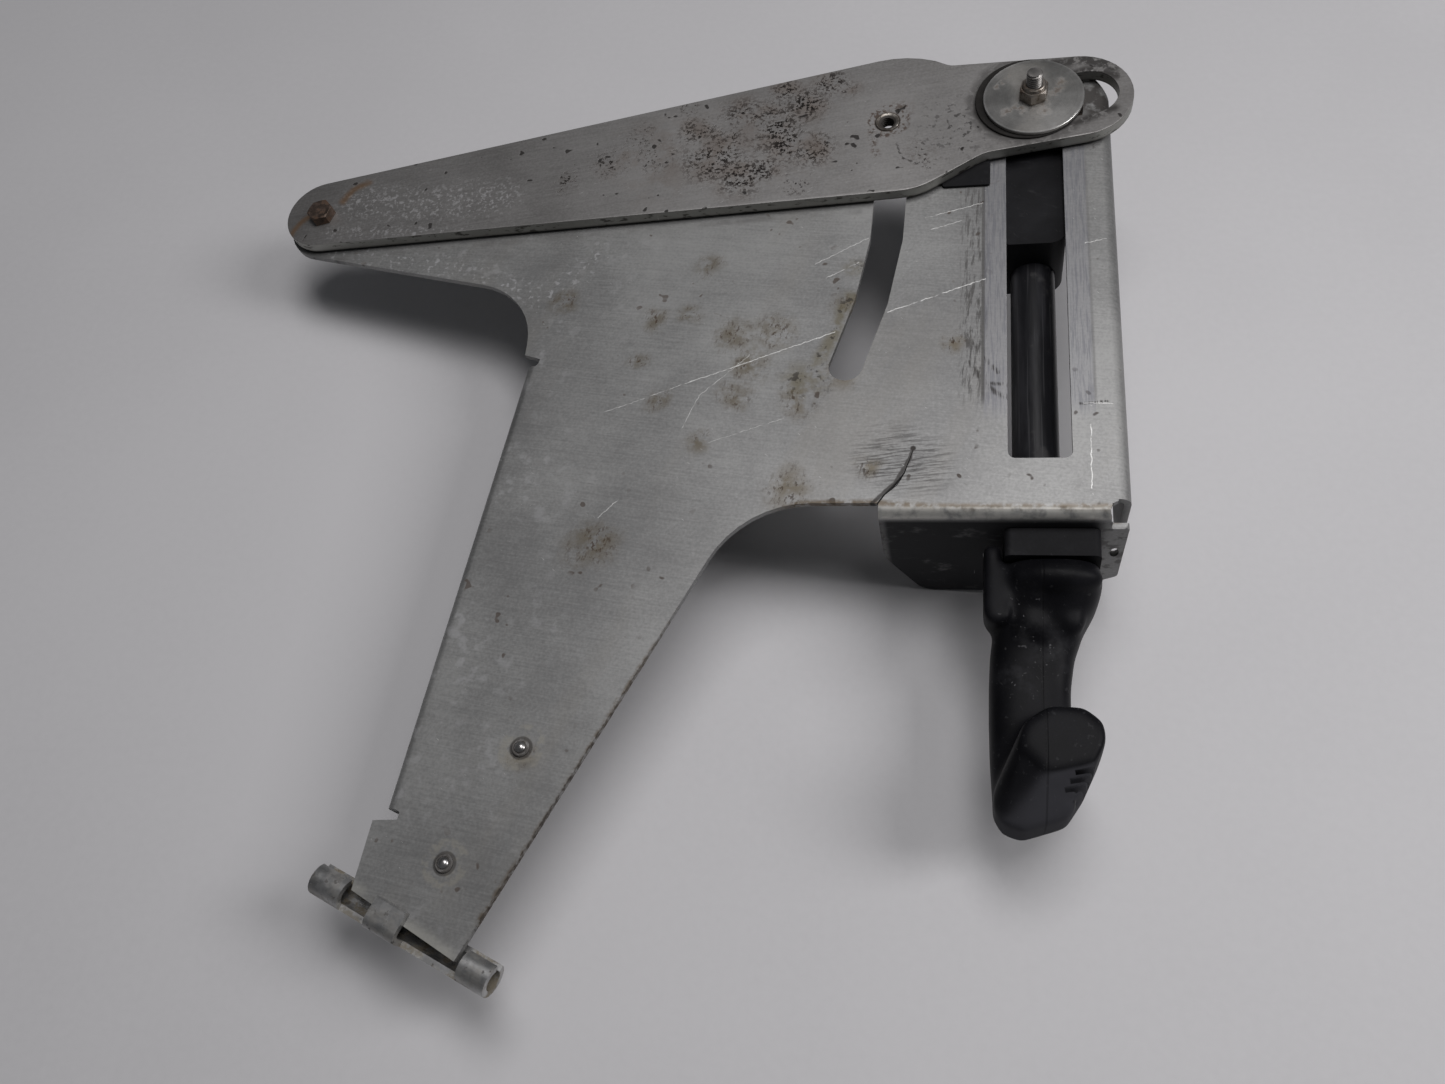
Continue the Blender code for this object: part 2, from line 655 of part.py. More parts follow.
GRIP_STATIONS = (
    (-198.0, 371.0, 414.0, -12.0, -50.0),
    (-206.0, 371.5, 414.5, -11.0, -52.0),
    (-214.0, 370.5, 412.0, -15.0, -54.0),
    (-224.0, 367.5, 406.5, -22.0, -55.0),
    (-236.0, 366.0, 402.5, -26.0, -55.0),
    (-250.0, 365.6, 400.6, -28.0, -54.0),
    (-266.0, 365.6, 400.4, -28.0, -54.0),
    (-284.0, 366.0, 401.0, -27.0, -53.0),
    (-300.0, 367.0, 400.0, -28.0, -50.0),
    (-309.0, 371.0, 395.0, -31.0, -46.0),
)


def grip_body():
    rings = []
    for y, x0, x1, high, low in GRIP_STATIONS:
        cx, cz = (x0 + x1) / 2, (high + low) / 2
        ring = []
        for a in turns_of(28):
            c, s = math.cos(a), math.sin(a)
            dx = math.copysign(abs(c) ** 0.62, c) * (x1 - x0) / 2
            dz = math.copysign(abs(s) ** 0.62, s) * (high - low) / 2
            ring.append((cx + dx, y, cz + dz))
        rings.append(ring)
    return loft("grip", rings, "black_plastic")


def bump(name, centre, radii):
    """An ellipsoid, for the finger contours and the bolster."""
    rings = []
    for i in range(1, 8):
        tilt = math.pi * i / 8 - math.pi / 2
        wide, y = math.cos(tilt), centre[1] + radii[1] * math.sin(tilt)
        ring = [
            (centre[0] + radii[0] * wide * math.cos(a), y, centre[2] + radii[2] * wide * math.sin(a))
            for a in turns_of(20)
        ]
        rings.append(ring)
    return loft(name, rings, None)


def hull(name, points):
    shape = bmesh.new()
    for p in points:
        shape.verts.new(p)
    made = bmesh.ops.convex_hull(shape, input=shape.verts)
    spare = [g for g in made["geom_interior"] + made["geom_unused"] if isinstance(g, bmesh.types.BMVert)]
    bmesh.ops.delete(shape, geom=spare, context="VERTS")
    bmesh.ops.dissolve_limit(shape, angle_limit=math.radians(2), verts=shape.verts, edges=shape.edges)
    return link(name, shape, None)


def grip_head():
    """The raised pommel: a slanted block whose front falls away to the end."""
    low = [(374.0, -284.0), (381.0, -270.0), (392.0, -265.0), (404.0, -266.5), (410.0, -272.0)]
    low += [(411.5, -281.0), (404.0, -298.0), (397.0, -309.0), (379.0, -315.5), (371.0, -313.0)]
    low += [(367.0, -306.0), (367.5, -299.0)]
    crown = [(379.0, -275.0), (389.0, -267.5), (403.0, -267.5), (410.5, -273.5), (411.0, -281.0)]
    crown += [(407.0, -290.0), (388.5, -295.0), (377.0, -283.0)]
    points = [(x, y, -46.0) for x, y in low]
    points += [(x, y, -22.0) for x, y in low]
    points += [(x, y, -5.0) for x, y in crown]
    head = hull("head", points)
    soften(head, 3.2, 3, 20)
    return head


def grip_slots():
    """Three short grooves across the head's right shoulder."""
    made = []
    for i in range(3):
        x, y = 406.0 - 2.2 * i, -295.4 - 3.2 * i
        c, s = math.cos(0.26), math.sin(0.26)
        half, wide = 6.5, 0.8
        corners = [(-half, -wide), (half, -wide), (half, wide), (-half, wide)]
        outline = [(x + a * c - b * s, y + a * s + b * c) for a, b in corners]
        made.append(prism(f"groove_{i}", outline, -21.5 - 3.0 * i, 5.0))
    return made


def grip_halves():
    """The moulded grip, split along its seam."""
    body = grip_body()
    bolster = bump("bolster", (394.5, -206.4, -17.0), (20.0, 8.0, 10.0))
    first = bump("finger_0", (383.8, -222.5, -24.5), (9.5, 10.0, 6.0))
    second = bump("finger_1", (400.0, -221.5, -26.0), (7.0, 8.5, 6.0))
    tab_points = [(363.0, -189.5), (370.9, -189.5), (370.9, -199.0), (375.0, -200.0), (375.0, -225.0)]
    tab_outline = rounded(tab_points + [(363.0, -230.0)], [1.5, 0, 0, 0, 0, 5.5])
    tab = prism("tab", tab_outline, -35.0, -17.0)
    soften(tab, 1.2, 2)
    join(body, bolster, first, second, tab, grip_head())
    x, z = ROD_AXIS
    cut(body, y_cylinder("socket", x, z, ROD_R + GAP, -201.0, -190.0), *grip_slots())
    other = body.copy()
    other.data = body.data.copy()
    bpy.context.scene.collection.objects.link(other)
    seam = GRIP_SEAM_X
    right_side = [(seam - GAP, -340.0), (440.0, -340.0), (440.0, -180.0), (seam - GAP, -180.0)]
    left_side = [(340.0, -340.0), (seam + GAP, -340.0), (seam + GAP, -180.0), (340.0, -180.0)]
    cut(body, prism("right_side", right_side, -80.0, 30.0))
    cut(other, prism("left_side", left_side, -80.0, 30.0))
    body.name = "grip_left_half"
    other.name = "grip_right_half"
    for half in (body, other):
        place_origin(half, pin_centre())
        shade(half, 38)


def place_origin(obj, origin):
    """Moves the object's origin without moving its shape."""
    shift = Vector(origin) * MM
    obj.data.transform(Matrix.Translation(obj.location - shift))
    obj.location = shift


def buffer_block():
    """The rubber stop between the grip and the front flange, around the rod."""
    outline = rounded([(371.4, -49.0), (413.8, -49.0), (413.0, -11.5), (372.0, -11.5)], [4, 4, 3, 3])
    rings = [[(x, y, z) for x, z in outline] for y in (-197.8, FRONT_FACE - 0.5)]
    block = loft("end_buffer", rings, "black_rubber", pin_centre())
    x, z = ROD_AXIS
    cut(block, y_cylinder("rod_hole", x, z, ROD_R + GAP, -210.0, FRONT_FACE + 1.0))
    shade(block)
    return block


def place():
    """Moves every object from the pivot's axes onto the row frame."""
    shift = Vector(ROW_SHIFT) * MM
    for obj in bpy.context.scene.collection.objects:
        obj.location += shift


def build():
    clear_scene()
    bracket()
    hinge_leaf()
    for i, at in enumerate(RIVETS):
        rivet(f"rivet_{i + 1}", at)
    pivot_bolt()
    nyloc("pivot_nut", (0.0, 0.0), -SHEET - 2.1 - M8_NUT, "fastener_steel")
    washer("pivot_nut_washer", (0.0, 0.0), 8.0, M8_R + GAP, -SHEET - 1.75, -SHEET - GAP, "fastener_steel")
    washer("pivot_spacer", (0.0, 0.0), 12.0, M8_R + GAP, GAP, LEVER_Z[0] - GAP, "fastener_steel")
    lever()
    insert()
    glide_pad()
    carrier()
    rod()
    stud()
    slide_stack()
    buffer_block()
    grip_halves()
    place()


build()
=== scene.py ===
"""Looks of the gate opener arm: worn sheet, a pitted lever, greasy fasteners and a scuffed black grip.

Places on the object are given in millimetres about the lever's pivot, X along the lever, Y away from
the grip, Z up from the bracket's upper face, and turned into the frame's metres by place().
"""

import math

import bmesh
import bpy
from mathutils import Matrix, Vector


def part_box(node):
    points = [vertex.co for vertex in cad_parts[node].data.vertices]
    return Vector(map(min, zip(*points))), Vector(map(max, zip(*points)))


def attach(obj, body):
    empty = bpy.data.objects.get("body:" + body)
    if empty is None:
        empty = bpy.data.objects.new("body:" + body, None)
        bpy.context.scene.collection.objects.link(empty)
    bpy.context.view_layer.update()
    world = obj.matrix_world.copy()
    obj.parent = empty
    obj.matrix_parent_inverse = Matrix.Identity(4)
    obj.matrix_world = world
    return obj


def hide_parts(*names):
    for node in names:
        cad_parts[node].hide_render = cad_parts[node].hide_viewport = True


# Lengths are in millimetres, unless a name ends in _M or a comment says metres.
MM = 0.001
WELD_M = 2e-5
SHARP_DEGREES = 31.0
GRIP_HALVES = ("grip_left_half", "grip_right_half")
GRIP_SEAM_X = 388.0
GRIP_VOXEL = 0.85
GRIP_RELAX_ROUNDS = 75
GROOVES = 3
GROOVE_AT = (405.4, -292.6)
GROOVE_STEP = (1.9, 3.0)
GROOVE_HALF = (7.0, 0.85)
GROOVE_TURN = 0.26
THREAD_PITCH = 1.25
AROUND = 40
INSERT_FOOT = 0.7

# The camera's place and axes about the pivot.
CAMERA_AT = (359.12, -419.79, 462.79)
CAMERA_RIGHT = (0.977299, 0.097683, -0.188001)
CAMERA_DOWN = (0.006684, -0.90114, -0.433476)
CAMERA_AHEAD = (-0.211758, 0.42238, -0.881336)
CAMERA_SENSOR_MM = 36.0
CAMERA_LENS_MM = 28.976

# The floor's drop below the plate at the pivot, and its rise per unit along X and Y.
FLOOR_DROP = 51.3
FLOOR_SLOPE_X = 0.111
FLOOR_SLOPE_Y = 0.0323
FLOOR_HALF_M = 4.0

# Two soft lights and a dim room, in the frame's metres.
CEILING_AT = (0.38, 0.28, 1.60)
CEILING_SIZE = (1.0, 0.6)
CEILING_WATTS = 13.0
SIDE_AT = (1.45, 0.05, 1.15)
SIDE_SIZE = (0.5, 0.8)
SIDE_WATTS = 12.0
WORLD_LEVEL = 0.075
WORLD_COLOUR = (0.92, 0.95, 1.0)
LIGHT_COLOUR = (1.0, 0.985, 0.995)
LIT_POINT = (0.05, 0.0, 0.05)

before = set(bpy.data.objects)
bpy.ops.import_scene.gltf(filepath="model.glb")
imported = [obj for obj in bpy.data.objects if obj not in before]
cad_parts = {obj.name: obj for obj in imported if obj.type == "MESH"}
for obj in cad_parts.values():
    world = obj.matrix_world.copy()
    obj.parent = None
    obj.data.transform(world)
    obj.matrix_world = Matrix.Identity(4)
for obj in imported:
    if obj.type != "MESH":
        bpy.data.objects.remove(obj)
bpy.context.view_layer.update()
pivot_low, pivot_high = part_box("pivot_spacer")
PLATE_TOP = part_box("bracket")[1].z
PIVOT = Vector(((pivot_low.x + pivot_high.x) / 2, (pivot_low.y + pivot_high.y) / 2, PLATE_TOP))


def place(x, y, z=0.0):
    """Millimetres about the pivot to the frame's metres."""
    return PIVOT + Vector((x, y, z)) * MM


def centre_of(node):
    """A node's centre, seen from above, in millimetres about the pivot."""
    low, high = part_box(node)
    middle = ((low + high) / 2 - PIVOT) / MM
    return middle.x, middle.y


INSERT = centre_of("threaded_insert")
DISC = centre_of("disc_washer")
RIVETS = [centre_of("rivet_1"), centre_of("rivet_2")]


# ---------------------------------------------------------------- node arithmetic


class Surface:
    """A Principled material, with short calls for the node arithmetic behind its colour and relief."""

    def __init__(self, name, metallic=0.0, specular=0.5):
        self.material = bpy.data.materials.new(name)
        self.material.use_nodes = True
        self.tree = self.material.node_tree
        self.shader = self.tree.nodes["Principled BSDF"]
        self.shader.inputs["Metallic"].default_value = metallic
        self.shader.inputs["Specular IOR Level"].default_value = specular
        self.where = self.add("ShaderNodeTexCoord").outputs["Object"]
        self.flat = self.vector("MULTIPLY", self.where, (1.0, 1.0, 0.0))
        self.colour = None

    def add(self, kind, **settings):
        node = self.tree.nodes.new(kind)
        for key, value in settings.items():
            setattr(node, key, value)
        return node

    def feed(self, socket, value):
        if isinstance(value, bpy.types.NodeSocket):
            self.tree.links.new(value, socket)
        elif isinstance(value, (tuple, list, Vector)) and socket.type == "RGBA":
            socket.default_value = (*value[:3], 1.0)
        else:
            socket.default_value = value

    def calc(self, operation, *values, clamp=False):
        node = self.add("ShaderNodeMath", operation=operation, use_clamp=clamp)
        for socket, value in zip(node.inputs, values):
            self.feed(socket, value)
        return node.outputs[0]

    def times(self, *values):
        made = values[0]
        for value in values[1:]:
            made = self.calc("MULTIPLY", made, value)
        return made

    def most(self, *values):
        made = values[0]
        for value in values[1:]:
            made = self.calc("MAXIMUM", made, value)
        return made

    def vector(self, operation, *values):
        node = self.add("ShaderNodeVectorMath", operation=operation)
        for socket, value in zip(node.inputs, values):
            self.feed(socket, value)
        return node.outputs["Value" if operation in ("LENGTH", "DISTANCE", "DOT_PRODUCT") else "Vector"]

    def axis(self, letter, at=None):
        node = self.add("ShaderNodeSeparateXYZ")
        self.feed(node.inputs[0], at or self.where)
        return node.outputs[letter]

    def squeeze(self, scales, turn=0.0):
        """Coordinates turned about Z, then stretched: a large scale makes fine detail along that axis."""
        turned = self.add("ShaderNodeVectorRotate", rotation_type="Z_AXIS")
        self.feed(turned.inputs["Vector"], self.where)
        turned.inputs["Angle"].default_value = math.radians(turn)
        return self.vector("MULTIPLY", turned.outputs[0], scales)

    def noise(self, scale, detail=3.0, rough=0.55, at=None):
        node = self.add("ShaderNodeTexNoise")
        self.feed(node.inputs["Vector"], at or self.where)
        node.inputs["Scale"].default_value = scale
        node.inputs["Detail"].default_value = detail
        node.inputs["Roughness"].default_value = rough
        return node.outputs["Fac"]

    def fade(self, value, low, high, from_value=0.0, to_value=1.0):
        """from_value at or before low, to_value at or past high, smooth between."""
        node = self.add("ShaderNodeMapRange", interpolation_type="SMOOTHSTEP")
        if low > high:
            low, high, from_value, to_value = high, low, to_value, from_value
        for socket, number in zip(("Value", "From Min", "From Max", "To Min", "To Max"),
                                  (value, low, high, from_value, to_value)):
            self.feed(node.inputs[socket], number)
        return node.outputs["Result"]

    def mix(self, share, first, second):
        node = self.add("ShaderNodeMix", data_type="RGBA")
        self.feed(node.inputs[0], share)
        self.feed(node.inputs[6], first)
        self.feed(node.inputs[7], second)
        return node.outputs[2]

    def paint(self, share, tint):
        """Lays a tint over the colour built up so far."""
        self.colour = self.mix(share, self.colour, tint)

    def wobbled(self, size_mm, scale=120.0):
        """Flat coordinates pushed about by noise, for ragged edges."""
        node = self.add("ShaderNodeTexNoise")
        self.feed(node.inputs["Vector"], self.where)
        node.inputs["Scale"].default_value = scale
        node.inputs["Detail"].default_value = 3.0
        shift = self.vector("SUBTRACT", node.outputs["Color"], (0.5, 0.5, 0.5))
        pushed = self.vector("MULTIPLY", shift, (size_mm * MM * 2,) * 3)
        return self.vector("MULTIPLY", self.vector("ADD", self.where, pushed), (1.0, 1.0, 0.0))

    def spot(self, centre, radius, soft=0.6, at=None):
        """1 inside a round patch, falling to 0 at its radius, in millimetres."""
        middle = place(*centre)
        distance = self.vector("DISTANCE", at or self.flat, (middle.x, middle.y, 0.0))
        return self.fade(distance, radius * MM * (1 - soft), radius * MM, 1.0, 0.0)

    def ring(self, centre, inner, outer, at=None):
        """1 on a ring between two radii."""
        hole = self.calc("SUBTRACT", 1.0, self.spot(centre, inner, 0.12, at))
        return self.times(self.spot(centre, outer, 0.14, at), hole)

    def stroke(self, start, end, width, soft=0.7, at=None):
        """1 along a straight line of that width in millimetres."""
        a, b = place(*start), place(*end)
        a.z = b.z = 0.0
        along = b - a
        offset = self.vector("SUBTRACT", at or self.flat, tuple(a))
        share = self.vector("DOT_PRODUCT", offset, tuple(along / along.length_squared))
        share = self.calc("MINIMUM", self.calc("MAXIMUM", share, 0.0), 1.0)
        node = self.add("ShaderNodeVectorMath", operation="SCALE")
        node.inputs[0].default_value = tuple(along)
        self.feed(node.inputs["Scale"], share)
        distance = self.vector("DISTANCE", offset, node.outputs["Vector"])
        half = width * MM / 2
        return self.fade(distance, half * (1 - soft), half, 1.0, 0.0)

    def path(self, points, width, soft=0.7, at=None):
        return self.most(*[self.stroke(a, b, width, soft, at) for a, b in zip(points, points[1:])])

    def band(self, letter, low, high, soft=1.0):
        """1 between two places along an axis, in millimetres."""
        value = self.axis(letter)
        base = getattr(PIVOT, letter.lower())
        rise = self.fade(value, base + (low - soft) * MM, base + (low + soft) * MM)
        fall = self.fade(value, base + (high - soft) * MM, base + (high + soft) * MM, 1.0, 0.0)
        return self.times(rise, fall)

    def finish(self, colour, roughness, relief=None, depth_mm=0.05, metallic=None):
        self.feed(self.shader.inputs["Base Color"], colour)
        self.feed(self.shader.inputs["Roughness"], roughness)
        if metallic is not None:
            self.feed(self.shader.inputs["Metallic"], metallic)
        if relief is not None:
            bump = self.add("ShaderNodeBump")
            bump.inputs["Strength"].default_value = 0.6
            bump.inputs["Distance"].default_value = depth_mm * MM
            self.feed(bump.inputs["Height"], relief)
            self.tree.links.new(bump.outputs["Normal"], self.shader.inputs["Normal"])
        return self.material


# ---------------------------------------------------------------- materials

STEEL_DARK = (0.205, 0.205, 0.203)
STEEL_LIGHT = (0.385, 0.385, 0.378)
SCRATCH_AND_GLINT = (0.86, 0.86, 0.84)
OXIDE = (0.46, 0.46, 0.47)
# Dark grime colour, also used to paint shade.
GRIME_AND_SHADE = (0.035, 0.03, 0.027)
RUST = (0.055, 0.033, 0.020)
RUST_PALE = (0.125, 0.095, 0.062)
STAIN = (0.16, 0.135, 0.095)

LONG_SCRATCHES = [
    ((223.1, -111.7), (292.4, -84.8), 0.62),
    ((182.2, -128.0), (223.1, -111.7), 0.37),
    ((317.5, -74.0), (363.2, -56.5), 0.68),
    ((333.8, -17.0), (362.1, -9.4), 0.50),
    ((337.0, -24.5), (352.0, -20.0), 0.37),
    ((280.0, -43.0), (306.0, -28.0), 0.43),
    ((286.0, -52.0), (302.0, -43.0), 0.37),
    ((251.5, -96.8), (228.9, -119.3), 0.31),
    ((228.9, -119.3), (222.1, -137.7), 0.31),
    ((410.0, -37.4), (420.0, -35.2), 0.43),
    ((406.0, -127.4), (419.0, -128.4), 0.37),
    ((409.3, -139.0), (408.6, -171.0), 0.62),
    ((196.0, -176.0), (187.0, -186.0), 0.43),
    ((271.0, -133.0), (236.0, -146.0), 0.25),
]
STAINS = [
    ((200.6, -73.9), 9.0), ((218.6, -71.6), 8.0), ((242.9, -84.7), 13.0), ((262.7, -82.4), 13.0),
    ((252.0, -101.0), 12.0), ((278.0, -123.2), 12.0), ((295.2, -109.6), 9.0), ((246.9, -121.3), 10.0),
    ((196.0, -98.0), 6.0), ((208.0, -122.0), 7.0), ((296.4, -68.9), 9.0), ((231.0, -146.0), 7.0),
    ((186.0, -200.0), 16.0), ((275.0, -170.0), 12.0), ((150.7, -60.1), 9.0), ((312.0, -160.0), 7.0),
    ((225.0, -40.0), 9.0), ((170.0, -300.0), 8.0), ((350.0, -92.0), 7.0),
]


def brushed(s, turn, fineness=1500.0):
    """Fine parallel marks: a value about 0.5."""
    return s.noise(1.0, 2.0, 0.5, s.squeeze((fineness / 28, fineness, fineness / 28), turn))


def rings_round(s, centres, inner, outer, at=None):
    return s.most(*[s.ring(centre, inner, outer, at) for centre in centres])


def sheet_oxide(s, left, ragged):
    """The left arm and the leg are dulled by pale oxide blotches."""
    lumps = s.fade(s.noise(150.0, 3.0, 0.5), 0.55, 0.68)
    blotch = s.times(lumps, s.fade(s.noise(17.0, 3.0), 0.38, 0.6))
    near_edge = s.path([(10, -18), (85, -36), (140, -58), (165, -30)], 26.0, 0.9, ragged)
    speckle = s.fade(s.noise(330.0, 2.0), 0.57, 0.66)
    pale = s.most(s.times(blotch, left, 0.42), s.times(speckle, near_edge, 0.6))
    s.paint(pale, OXIDE)
    return pale


def sheet_smears(s, slow):
    """Long smears and faint cross marks over the middle."""
    smear = s.fade(s.noise(1.0, 4.0, 0.6, s.squeeze((26.0, 5.0, 8.0), 24.0)), 0.52, 0.72)
    s.paint(s.times(smear, 0.28), (0.30, 0.285, 0.26))
    crossing = s.fade(brushed(s, -62.0, 900.0), 0.64, 0.72)
    s.paint(s.times(crossing, s.fade(slow, 0.5, 0.62), 0.35), STEEL_LIGHT)


def sheet_rust(s):
    """Rust flecks everywhere, thick in the stained patches."""
    blown = s.wobbled(7.0, 60.0)
    patches = s.most(*[s.spot(centre, radius * 1.25, 0.95, blown) for centre, radius in STAINS])
    fleck = s.fade(s.noise(1.0, 4.0, 0.65, s.squeeze((640.0, 330.0, 400.0), 12.0)), 0.535, 0.60)
    sparse = s.times(s.fade(s.noise(160.0, 1.0), 0.68, 0.73), s.fade(s.noise(23.0, 2.0), 0.5, 0.6))
    s.paint(s.times(patches, s.fade(s.noise(110.0, 5.0, 0.65), 0.36, 0.60), 0.8), STAIN)
    thick = s.times(patches, fleck, s.fade(s.noise(75.0, 3.0), 0.34, 0.52), 0.85)
    rusty = s.most(thick, s.times(sparse, 0.7))
    s.paint(rusty, RUST)
    return rusty


def sheet_window(s, grain, frayed):
    """Rubbed strips on both sides of the window, with dark lines beside them, and the lever's run."""
    lines = s.fade(s.noise(1.0, 4.0, 0.7, s.squeeze((1100.0, 60.0, 40.0))), 0.46, 0.60)
    both = s.most(s.band("X", 362.6, 373.4, 0.5), s.band("X", 401.0, 411.6, 0.8))
    strip = s.times(both, s.band("Y", -132.0, 60.0, 7.0))
    s.paint(s.times(strip, 0.5), (0.29, 0.29, 0.305))
    s.paint(s.times(strip, lines, 0.42), (0.13, 0.135, 0.16))
    side = s.times(s.band("X", 352.0, 363.5, 2.5), s.band("Y", -122.0, 4.0, 12.0))
    scores = s.fade(s.noise(1.0, 5.0, 0.75, s.squeeze((620.0, 75.0, 60.0), 4.0)), 0.48, 0.60)
    borders = s.most(s.band("X", 361.6, 363.2, 0.35), s.times(s.band("X", 411.2, 412.4, 0.5), 0.4))
    edge_line = s.times(borders, s.band("Y", -126.0, 18.0, 5.0))
    end_rub = s.most(s.path([(356, -104), (362, -114), (368, -121), (374, -124)], 4.0, 0.9, frayed),
                     s.path([(355, -88), (361, -99), (369, -110)], 3.0, 0.9, frayed),
                     s.stroke((404, -128), (417, -127), 2.2, 0.9, frayed),
                     s.stroke((364, -116), (373, -117), 3.0, 0.9, frayed))
    slot_run = s.times(s.ring((0, 0), 326.5, 338.0), s.band("Y", -118.0, 20.0, 12.0), s.fade(grain, 0.3, 0.7))
    s.paint(s.times(slot_run, 0.22), STEEL_LIGHT)
    return s.most(s.times(side, scores, 0.65), s.times(edge_line, 0.6), s.times(end_rub, lines, 0.85))


def sheet_tear(s, ragged, frayed):
    """Dark streaks beside the tear, with its lip and round end."""
    beside = s.most(s.spot((322, -155), 26.0, 0.9, ragged), s.spot((335, -158), 22.0, 0.9, ragged))
    streaks = s.fade(s.noise(1.0, 4.0, 0.7, s.squeeze((70.0, 1000.0, 60.0), -6.0)), 0.47, 0.60)
    lip = s.path([(313, -180), (319, -173), (324, -168), (330, -156), (331.6, -150)], 2.4, 0.6, frayed)
    return s.most(s.times(beside, streaks, 0.62), s.times(lip, 0.8), s.spot((331.6, -150.2), 1.7, 0.5))


def sheet_slot_grime(s, ragged):
    """Grime at the curved slot's lower end and down its left side."""
    slot_end = s.most(s.path([(298, -64), (292, -86), (283, -106), (289, -116)], 11.0, 0.95, ragged),
                      s.spot((277, -112), 15.0, 0.95, ragged), s.spot((300, -46), 8.0, 0.95, ragged))
    s.paint(s.times(slot_end, s.fade(s.noise(150.0, 3.0), 0.36, 0.6), 0.7), (0.17, 0.15, 0.10))
    return s.times(slot_end, s.fade(s.noise(260.0, 3.0), 0.56, 0.64), 0.85)


def sheet_edges(s, ragged, frayed):
    """Brown grime along the waist and the leg's right edge and round the rivets, and a painted shadow under
    the lever.
    """
    leg_edge = [(164, -370), (190, -318), (210, -274), (232, -231.5), (254, -199.5), (268, -185)]
    edge = s.path(leg_edge, 5.0, 0.9, frayed)
    waist = s.path([(262, -188), (281, -178.5), (316, -178), (340, -180), (420, -180)], 5.5, 0.9, frayed)
    crumbs = s.fade(s.noise(210.0, 4.0, 0.65), 0.34, 0.56)
    s.paint(s.times(s.most(edge, waist), crumbs, 0.8), RUST_PALE)
    outer_edge = s.path([(160, -379), (192, -312), (237, -219.5)], 2.0, 0.8, frayed)
    halo = rings_round(s, RIVETS, 4.0, 11.0, ragged)
    s.paint(s.times(halo, s.fade(s.noise(240.0, 3.0), 0.42, 0.6), 0.34), (0.42, 0.395, 0.33))
    seat = rings_round(s, RIVETS, 3.2, 5.6)
    foot = s.path([(104, -361), (156, -385)], 13.0, 0.8, ragged)
    s.paint(s.times(foot, s.fade(s.noise(60.0, 4.0), 0.35, 0.6), 0.5), (0.56, 0.55, 0.50))
    # Painted shadow: a dark band on the plate along the lever's lower edge.
    under_lever_shadow = s.path([(12, -24), (150, -17), (240, -12.5), (300, -10.5)], 7.0, 0.9, ragged)
    shade = s.times(under_lever_shadow, s.fade(s.noise(60.0, 3.0), 0.3, 0.65), 0.5)
    return s.most(s.times(outer_edge, crumbs, 0.9), s.times(seat, 0.8), shade)


def sheet_front(s):
    """A bend painted bright as a highlight, over a front flange face painted near-black."""
    depth = s.calc("SUBTRACT", PIVOT.z, s.axis("Z"))
    x, y = s.axis("X"), s.axis("Y")
    bend = s.times(s.fade(y, PIVOT.y - 177.5 * MM, PIVOT.y - 180.5 * MM), s.band("X", 312.0, 424.0))
    # Painted highlight: a pale, patchy band along the front bend.
    bright = s.times(bend, s.fade(depth, 0.0, 0.6 * MM), s.fade(depth, 3.2 * MM, 5.6 * MM, 1.0, 0.0))
    s.paint(s.times(bright, s.fade(s.noise(160.0, 4.0), 0.30, 0.58), 0.75), (0.66, 0.645, 0.60))
    ahead = s.fade(y, PIVOT.y - 182.6 * MM, PIVOT.y - 183.8 * MM)
    face = s.times(ahead, s.fade(depth, 3.6 * MM, 8.0 * MM))
    face_blotches = s.fade(s.noise(34.0, 5.0, 0.65, s.squeeze((1.0, 1.0, 1.6))), 0.70, 0.52)
    rubbed = s.fade(s.noise(1.0, 4.0, 0.7, s.squeeze((60.0, 60.0, 300.0))), 0.60, 0.72)
    clear = s.fade(x, PIVOT.x + 409 * MM, PIVOT.x + 417 * MM)
    left_edge = s.fade(x, PIVOT.x + 321 * MM, PIVOT.x + 318 * MM)
    # The front face is painted near-black in blotches, less so at its right end and its left edge.
    dark_overlay = s.times(face, s.fade(s.calc("ADD", s.times(face_blotches, 0.35), 0.66), 0.3, 1.0))
    dark_overlay = s.times(dark_overlay, s.calc("SUBTRACT", 1.0, s.times(s.most(clear, s.times(left_edge, 0.6)), 0.85)))
    s.paint(dark_overlay, (0.026, 0.026, 0.028))
    s.paint(s.times(face, rubbed, 0.10), (0.22, 0.215, 0.20))
    crust = s.times(face, s.most(clear, left_edge), s.fade(s.noise(200.0, 4.0), 0.5, 0.62))
    s.paint(s.times(crust, 0.55), GRIME_AND_SHADE)
    return dark_overlay


def sheet_far_corner(s, ragged):
    """Grease at the far right corner and just below the lever's tip."""
    corner = s.times(s.path([(398, 62), (414, 62), (424, 44)], 26.0, 0.6, ragged),
                     s.fade(s.noise(120.0, 4.0, 0.6), 0.30, 0.50))
    below_lever = s.times(s.path([(398, 26), (416, 22)], 12.0, 0.95, ragged),
                          s.fade(s.noise(300.0, 3.0), 0.5, 0.62))
    return s.most(s.times(corner, 0.95), s.times(below_lever, 0.8))


def sheet_scratches(s, frayed):
    """The long bright scratches, broken up, and short ticks."""
    cuts = s.most(*[s.stroke(start, end, width, 0.75, frayed) for start, end, width in LONG_SCRATCHES])
    cuts = s.times(cuts, s.fade(s.noise(240.0, 2.0), 0.30, 0.5), 0.8)
    ticks = s.times(s.fade(s.noise(1.0, 1.0, 0.5, s.squeeze((260.0, 2600.0, 60.0), 38.0)), 0.76, 0.80),
                    s.fade(s.noise(30.0, 2.0), 0.48, 0.6))
    s.paint(s.most(cuts, s.times(ticks, 0.7)), SCRATCH_AND_GLINT)
    return cuts


